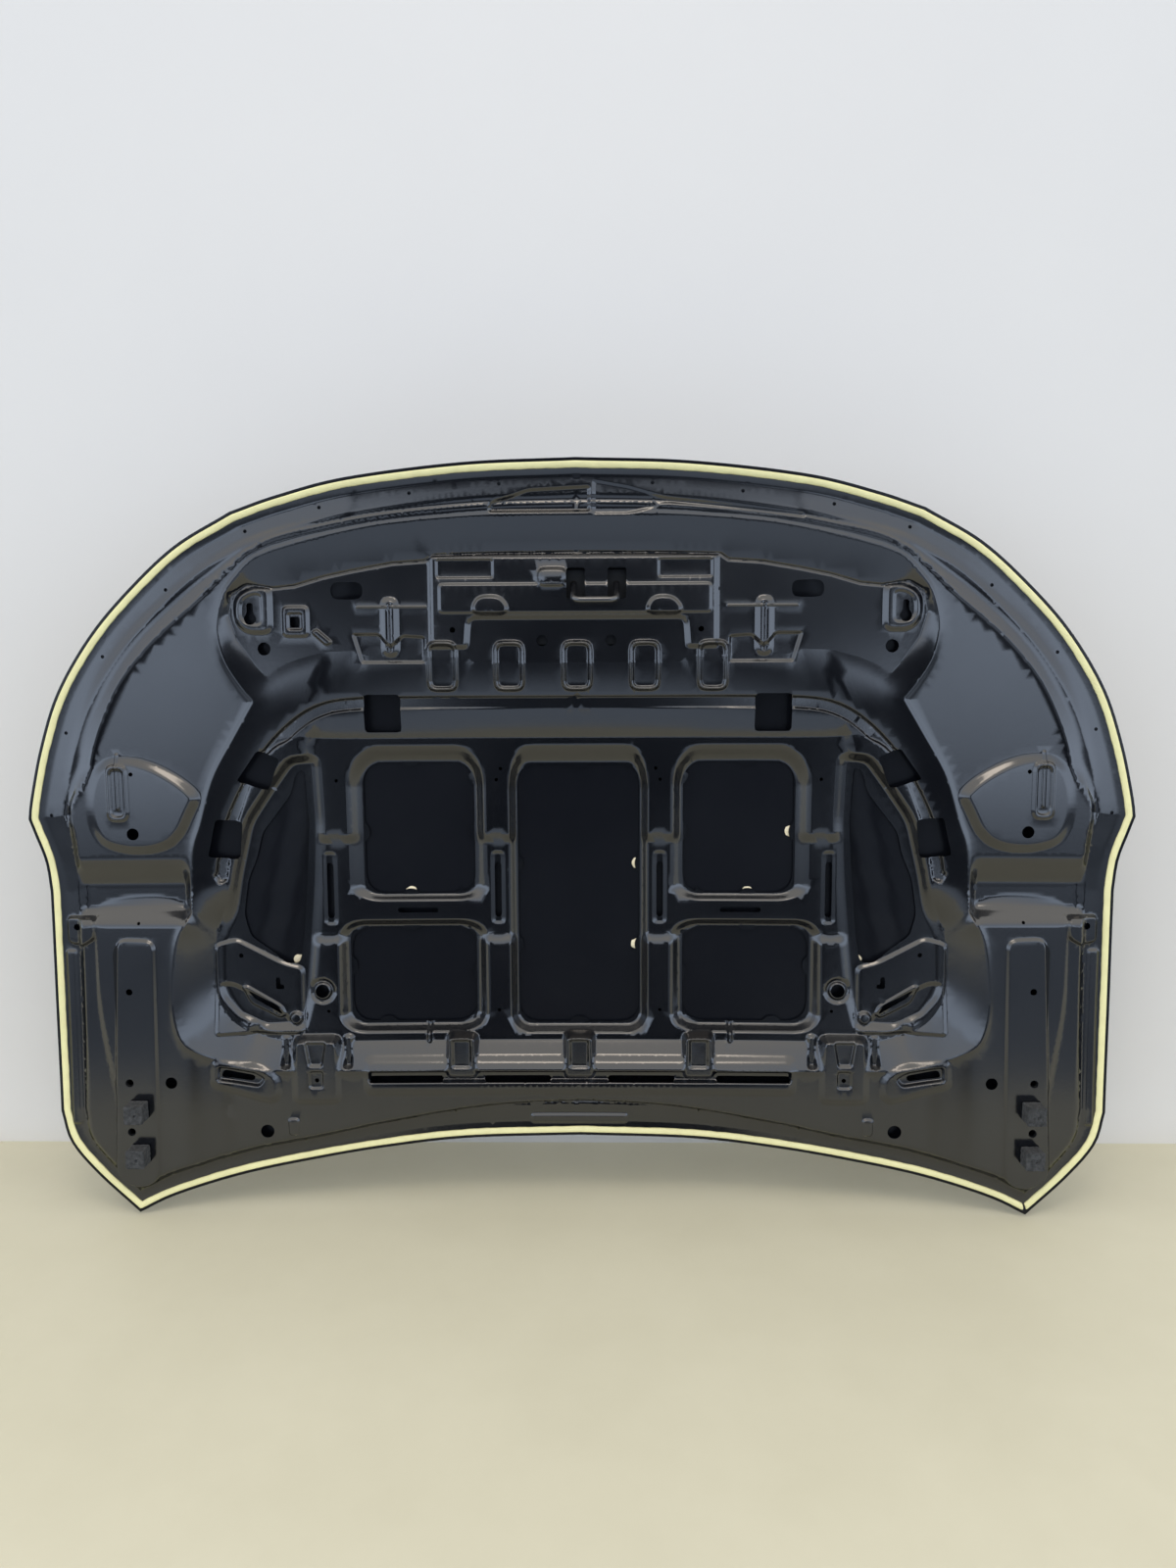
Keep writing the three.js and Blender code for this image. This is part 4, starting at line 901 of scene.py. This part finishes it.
def rod_mesh(line, radius, sides):
    """Points and faces of a round rod along a line."""
    line = np.asarray(line, float)
    ahead = np.gradient(line, axis=0)
    ahead /= np.linalg.norm(ahead, axis=1)[:, None]
    lean = np.array((0.0, -math.sin(STRIKER_TILT), math.cos(STRIKER_TILT)))
    flat_normal = np.cross(lean, (1.0, 0.0, 0.0))
    out = []
    for place, way in zip(line, ahead):
        across = np.cross(way, flat_normal)
        for k in range(sides):
            turn = 2 * math.pi * k / sides
            out.append(place + radius * (math.cos(turn) * flat_normal + math.sin(turn) * across))
    sides_faces = []
    for k in range(len(line) - 1):
        for i in range(sides):
            j = (i + 1) % sides
            sides_faces.append((k * sides + i, (k + 1) * sides + i, (k + 1) * sides + j, k * sides + j))
    last = (len(line) - 1) * sides
    sides_faces += [tuple(range(sides)), tuple(last + i for i in reversed(range(sides)))]
    return np.array(out), sides_faces


foot_z = LATCH_FACE + ROD_RADIUS * math.sin(STRIKER_TILT) + CLEARANCE
bend = 1.2 * 2 * ROD_RADIUS
half = STRIKER_WIDTH / 2
legs = [(-half, t) for t in np.linspace(0, STRIKER_REACH - bend, 8)]
for t in np.linspace(0.1, 0.9, 7):
    legs.append((-half + bend * t**2, STRIKER_REACH - bend * (1 - t) ** 2))
legs += [(x, STRIKER_REACH) for x in np.linspace(-half + bend, 0, 7)]
legs += [(-x, reach) for x, reach in reversed(legs[:-1])]
rod_line = [
    (STRIKER_X + x, STRIKER_Y - reach * math.sin(STRIKER_TILT), foot_z + reach * math.cos(STRIKER_TILT))
    for x, reach in legs
]
rod_points, rod_faces = rod_mesh(rod_line, ROD_RADIUS, 16)
rod_look = paint("striker_coat", (0.008, 0.0085, 0.01), 0.2, 0.3, 0.02)
rod = mesh_object("striker_rod", to_frame(rod_points), rod_faces, rod_look)
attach(rod, "root")
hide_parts("striker_loop")

# Plates and nuts: steel plates spot-welded behind the inner panel at the lock and under each hinge
# pad, and two hexagon weld nuts behind each hinge's bolt holes, all dipped in the same black primer.
PLATE_THICKNESS = 1.2
NUT_RADIUS = 9
NUT_HEIGHT = 6.5
NUT_BORE_RADIUS = 4.5
BEVEL = 0.2
NUT_BEVEL = 0.5
coat = paint("coated_plate", (0.004, 0.0045, 0.0055), 0.4, 0.4, 0.01, 0.15)


def slab(name, outline, holes, low, high, bevel, dimples=()):
    """A flat plate with holes, a small bevel and shallow weld dimples."""
    rims = [np.asarray(outline, float)] + [np.asarray(hole, float) for hole in holes]
    loop_numbers = []
    count = 0
    for rim in rims:
        loop_numbers.append(np.arange(count, count + len(rim)))
        count += len(rim)

    def kept(x, y):
        found = inside(x, y, rims[0])
        for rim in rims[1:]:
            found &= ~inside(x, y, rim)
        return found

    inner = [inset(rims[0], bevel)] + [inset(rim, -bevel) for rim in rims[1:]]
    spots = [disc(x, y, radius, 12) for x, y in dimples for radius in (0.5, 2.5, 3.4)]
    flat, faces = triangles_of(np.vstack(inner + spots), loop_numbers, kept)
    dip = np.zeros(len(flat))
    for x, y in dimples:
        dip = np.minimum(dip, -0.3 * soft((3.2 - np.hypot(flat[:, 0] - x, flat[:, 1] - y)) / 1.2))
    top = np.column_stack((flat, high + dip))
    under = np.column_stack((flat, np.full(len(flat), low)))
    middle = np.vstack(rims)
    upper = np.column_stack((middle, np.full(len(middle), high - bevel)))
    lower = np.column_stack((middle, np.full(len(middle), low + bevel)))
    points = np.vstack((top, under, upper, lower))
    first_upper = 2 * len(flat)
    first_lower = first_upper + len(middle)
    made_faces = [tuple(face) for face in faces] + [(c, b, a) for a, b, c in faces + len(flat)]
    for loop in loop_numbers:
        for a, b in zip(loop, np.roll(loop, -1)):
            made_faces.append((a, b, first_upper + b, first_upper + a))
            made_faces.append((first_upper + a, first_upper + b, first_lower + b, first_lower + a))
            made_faces.append((first_lower + a, first_lower + b, len(flat) + b, len(flat) + a))
    made = mesh_object(name, to_frame(points), made_faces, coat, smooth=False)
    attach(made, "root")
    return made


latch_outline = box(STRIKER_X - 125, STRIKER_X + 125, 774, 870, 10, 5)
weld_spots = [(STRIKER_X + x, y) for x in (-105, -62, 62, 105) for y in (788, 856)]
latch_back = LATCH_FACE - PLATE_THICKNESS
latch = slab("latch_backing", latch_outline, [], latch_back, LATCH_FACE, BEVEL, weld_spots)
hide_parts("latch_plate")
for side, side_name in ((-1, "left"), (1, "right")):
    pad_x = side * HINGE_LOCATOR[0]
    pad = box(pad_x - 20, pad_x + 20, 66, 384, 18, 6)
    holes = [disc(side * x, y, BOLT_HOLE_RADIUS) for x, y in HINGE_BOLTS]
    holes.append(disc(pad_x, HINGE_LOCATOR[1], LOCATOR_HOLE_RADIUS))
    high = HINGE_PAD_Z - INNER_THICKNESS - CLEARANCE
    spots = [(pad_x + x, y) for x in (-12, 12) for y in (90, 220, 270, 350)]
    backing = slab(f"hinge_backing_{side_name}", pad, holes, high - PLATE_THICKNESS, high, BEVEL, spots)
    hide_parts(f"hinge_plate_{side_name}")
    for number, (x, y) in enumerate(HINGE_BOLTS, 1):
        outline = rounded(disc(side * x, y, NUT_RADIUS, 6), 0.8, 2)
        seat = high - PLATE_THICKNESS - CLEARANCE
        bore = disc(side * x, y, NUT_BORE_RADIUS, 24)
        nut = slab(f"nut_{side_name}_{number}", outline, [bore], seat - NUT_HEIGHT, seat, NUT_BEVEL)
        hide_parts(f"weld_nut_{side_name}_{number}")

# Foam blocks: dark grey open-celled foam, cut by hand and glued on the hinge pads as packing, two a
# side, with crumbled edges and a pinhole.
FOAM_SIZE = 26
FOAM_HEIGHT = 24
FOAM_STEPS = 16
FOAM_FOOT_Z = HINGE_PAD_Z + CLEARANCE + 0.3
FOAM_PLACES = ((-591, "left"), (600, "right"))
foam_look = plain("foam", (0.056, 0.058, 0.060), (0.014, 0.015, 0.016), 230, 0.16, 0.95, 1.0, 900)
chance = np.random.RandomState(4)
for centre_x, side_name in FOAM_PLACES:
    for number, centre_y in enumerate((156, 95), 1):
        at = {}
        foam_points = []
        foam_faces = []

        def foam_corner(i, j, k):
            if (i, j, k) not in at:
                at[(i, j, k)] = len(foam_points)
                u = np.array((i, j, k)) / FOAM_STEPS * 2 - 1
                edge = 1 - 0.10 * (abs(u) > 0.9).sum() / 3
                crumble = chance.uniform(-1, 1, 3) * 0.45
                size = np.array((FOAM_SIZE / 2, FOAM_SIZE / 2, FOAM_HEIGHT / 2))
                waist = 1 - 0.05 * (1 - u[2] ** 2)
                place = u * size * edge * (waist, waist, 1) + crumble * (1, 1, (k > 0))
                dent = max(0, 1 - np.hypot(u[0] - 0.15, u[1] + 0.1) / 0.2) * (k == FOAM_STEPS)
                foam_points.append(place + (0, 0, FOAM_HEIGHT / 2 - 4 * dent))
            return at[(i, j, k)]

        n = FOAM_STEPS
        for a in range(n):
            for b in range(n):
                for turned in range(3):
                    for far in (0, n):
                        ring = [(a, b), (a + 1, b), (a + 1, b + 1), (a, b + 1)]
                        face = []
                        for p, q in ring if far else ring[::-1]:
                            spot = [0, 0, 0]
                            spot[turned] = far
                            spot[(turned + 1) % 3] = p
                            spot[(turned + 2) % 3] = q
                            face.append(foam_corner(*spot))
                        foam_faces.append(tuple(face))
        foam_points = to_frame(np.array(foam_points) + (centre_x, centre_y, FOAM_FOOT_Z))
        name = f"foam_{side_name}_{number}"
        block = mesh_object(name, foam_points, foam_faces, foam_look, smooth=False)
        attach(block, "root")
        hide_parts(f"foam_block_{side_name}_{number}")

# Mastic: soft cream dabs pressed between the skin and the tabs of the windows; most hide under
# their tab and a few have squeezed out.
MASTIC_LIFT = 0.7
MASTIC_HEIGHT = 2.1
MASTIC_SQUASH = 0.85
MASTIC_RADIUS = 7.2
DAB_RINGS = 6
DAB_SPOKES = 24
mastic_look = plain("mastic", (0.78, 0.70, 0.50), (0.66, 0.57, 0.38), 160, 0.3, 0.6, 0.4, 600)
# each dab: x and y of its place on the window's edge, and the way out into the window
dabs = [
    (-82, 368, 1, 0), (-82, 480, 1, 0), (82, 368, -1, 0), (82, 480, -1, 0), (0, 261, 0, 1), (0, 615, 0, -1),
]
for side in (-1, 1):
    dabs += [
        (side * 140, 524, side, 0), (side * 288, 524, -side, 0),
        (side * 228, 438, 0, 1), (side * 225, 619, 0, -1),
        (side * 140, 330, side, 0), (side * 309, 340, -side, 0),
        (side * 262, 263, 0, 1), (side * 228, 396, 0, -1),
        (side * 379, 349, -side, 0),
    ]
HIDDEN_BY = -4
squeezed_out = {3: 4.5, 4: 3.5, 9: 4, 17: 4, 18: 3, 24: 4}
for number, (x, y, way_x, way_y) in enumerate(dabs, 1):
    out_by = squeezed_out.get(number, HIDDEN_BY)
    centre = np.array((x + way_x * out_by, y + way_y * out_by), float)
    dab_points = []
    for ring_number in range(DAB_RINGS + 1):
        share_out = ring_number / DAB_RINGS
        for k in range(DAB_SPOKES):
            turn = -2 * math.pi * k / DAB_SPOKES
            wavy = 0.9 * wander(np.array(3.0 * math.cos(turn) + number), number)
            reach = (MASTIC_RADIUS + wavy) * share_out
            place = centre + (reach * math.cos(turn), reach * math.sin(turn))
            dome = MASTIC_HEIGHT * (1 - share_out**4) * (0.9 + 0.1 * math.sin(5 * turn + number))
            foot_level = skin_level(place[:1], place[1:])[0] + MASTIC_LIFT * (share_out < 1)
            dab_points.append((*place, foot_level + dome * MASTIC_SQUASH))
    dab_faces = ring_faces(DAB_RINGS + 1, DAB_SPOKES)
    dab_faces.append(tuple(DAB_RINGS * DAB_SPOKES + k for k in reversed(range(DAB_SPOKES))))
    dab = mesh_object(f"mastic_{number:02d}", to_frame(dab_points), dab_faces, mastic_look)
    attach(dab, "root")
    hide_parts(f"mastic_bead_{number:02d}")

# Floor and wall: a pale concrete floor and a white painted wall behind. The bonnet leans back a
# little, so in its own frame the floor falls away to the front.
FLOOR_Z = -0.1535
FLOOR_FALL = 0.25
FLOOR_FRONT = -1.2
FALL_START = 0.05
WALL_Y = 0.252
WALL_TOP = 3.2
HALF_WIDTH = 5
floor_look = plain("floor_concrete", (0.57, 0.545, 0.42), (0.515, 0.49, 0.37), 5, 0.3, 0.55)
wall_look = plain("wall_paint", (0.665, 0.65, 0.62), (0.635, 0.62, 0.595), 2, 0.4)
floor_points = []
for y in [WALL_Y, *np.linspace(FALL_START, FLOOR_FRONT, 15)]:
    fallen = max(0, FALL_START - y) / (FALL_START - FLOOR_FRONT)
    z = FLOOR_Z - FLOOR_FALL * fallen**1.4
    floor_points += [(-HALF_WIDTH, y, z), (HALF_WIDTH, y, z)]
floor_faces = [(k, k + 2, k + 3, k + 1) for k in range(0, len(floor_points) - 2, 2)]
mesh_object("floor", floor_points, floor_faces, floor_look)
wall_points = [(x, WALL_Y, z) for x, z in (
    (-HALF_WIDTH, FLOOR_Z), (HALF_WIDTH, FLOOR_Z), (HALF_WIDTH, WALL_TOP), (-HALF_WIDTH, WALL_TOP),
)]
mesh_object("wall", wall_points, [(0, 1, 2, 3)], wall_look)

# Light: an open bright sky, bluish low down and warmer overhead. Straight opposite the bonnet
# stand dark things, a broad one above a narrow one, which its flat faces mirror.
SKY_STRENGTH = 2.4
world = bpy.data.worlds.new("yard")
bpy.context.scene.world = world
world.use_nodes = True
yard = world.node_tree
sky = yard.nodes["Background"]
direction = add_node(yard, "TexCoord").outputs["Generated"]
split = add_node(yard, "SeparateXYZ")
yard.links.new(direction, split.inputs["Vector"])


def ramped(source, low, high, darkest):
    """A value that goes softly from the darkest to one between a low and a high source value."""
    made = add_node(yard, "MapRange", From_Min=low, From_Max=high, To_Min=darkest)
    made.interpolation_type = "SMOOTHSTEP"
    yard.links.new(source, made.inputs["Value"])
    return made.outputs["Result"]


def times(first, second):
    """The product of two outputs, or of an output and a number."""
    made = add_node(yard, "Math")
    made.operation = "MULTIPLY"
    yard.links.new(first, made.inputs[0])
    if isinstance(second, float):
        made.inputs[1].default_value = second
    else:
        yard.links.new(second, made.inputs[1])
    return made.outputs["Value"]


def dark_thing(x, z, half_width, half_height):
    """An oval patch of the surroundings, dark inside and soft at its edge."""
    squeezed = add_node(yard, "VectorMath")
    squeezed.operation = "MULTIPLY_ADD"
    squeezed.inputs[1].default_value = (1 / half_width, 0, 1 / half_height)
    squeezed.inputs[2].default_value = (-x / half_width, 0, -z / half_height)
    yard.links.new(direction, squeezed.inputs[0])
    distance = add_node(yard, "VectorMath")
    distance.operation = "LENGTH"
    yard.links.new(squeezed.outputs["Vector"], distance.inputs[0])
    return ramped(distance.outputs["Value"], 0.9, 1.35, 0.02)


HORIZON_LOW = -0.5
HORIZON_HIGH = 0.5
broad = dark_thing(-0.02, 0.07, 0.27, 0.10)
narrow = dark_thing(-0.03, -0.12, 0.14, 0.19)
below = add_node(yard, "MapRange", From_Min=HORIZON_LOW, From_Max=HORIZON_HIGH)
yard.links.new(split.outputs["Z"], below.inputs["Value"])
ground = add_node(yard, "ValToRGB")
yard.links.new(below.outputs["Result"], ground.inputs["Fac"])
ends = ground.color_ramp.elements
ends[0].position = 0.10
ends[0].color = (0.34, 0.34, 0.34, 1)
ends[1].position = 0.70
ends[1].color = (0.667, 0.667, 0.667, 1)
for position, level in ((0.17, 0.24), (0.23, 0.1), (0.30, 0.08), (0.41, 1), (0.56, 1)):
    ends.new(position).color = (level, level, level, 1)
share = times(times(broad, narrow), ground.outputs["Color"])
yard.links.new(times(share, SKY_STRENGTH), sky.inputs["Strength"])
tone = add_node(yard, "ValToRGB")
yard.links.new(split.outputs["Z"], tone.inputs["Fac"])
ends = tone.color_ramp.elements
ends[0].position = 0.1
ends[0].color = (0.72, 0.85, 1.06, 1)
ends[1].position = 0.6
ends[1].color = (1.0, 0.97, 0.92, 1)
yard.links.new(tone.outputs["Color"], sky.inputs["Color"])

GLOW_PLACE = Vector((0, -1.85, 2.6))
GLOW_AIM = Vector((0, 0, 0.2))
glow_data = bpy.data.lights.new("warm_glow", "AREA")
glow_data.shape = "RECTANGLE"
glow_data.size = 1.0
glow_data.size_y = 0.6
glow_data.energy = 11
glow_data.color = (1.0, 0.86, 0.72)
glow = bpy.data.objects.new("warm_glow", glow_data)
glow.location = GLOW_PLACE
glow.rotation_euler = (GLOW_AIM - GLOW_PLACE).to_track_quat("-Z", "Y").to_euler()
bpy.context.scene.collection.objects.link(glow)

# Camera: in front of the bonnet, below its nose, looking a little down. Its place is in panel
# millimetres, and its focal length is in pixels of a picture 1600 pixels high.
CAMERA_PLACE = (39.7, 753, 1573.3)
CAMERA_YAW = 0.974
CAMERA_PITCH = -5.98
CAMERA_ROLL = 0.277
FOCAL_PIXELS = 1202
PICTURE_HEIGHT = 1600
SENSOR_HEIGHT = 36


def rotation(degrees, axis):
    return Matrix.Rotation(math.radians(degrees), 4, axis)


camera_data = bpy.data.cameras.new("camera")
camera_data.sensor_fit = "VERTICAL"
camera_data.sensor_height = SENSOR_HEIGHT
camera_data.lens = SENSOR_HEIGHT * FOCAL_PIXELS / PICTURE_HEIGHT
camera = bpy.data.objects.new("camera", camera_data)
looking = rotation(CAMERA_YAW, "Z") @ rotation(90 + CAMERA_PITCH, "X") @ rotation(-CAMERA_ROLL, "Z")
camera.matrix_world = Matrix.Translation(to_frame([CAMERA_PLACE])[0].tolist()) @ looking
bpy.context.scene.collection.objects.link(camera)
bpy.context.scene.camera = camera
bpy.context.scene.view_settings.view_transform = "Standard"
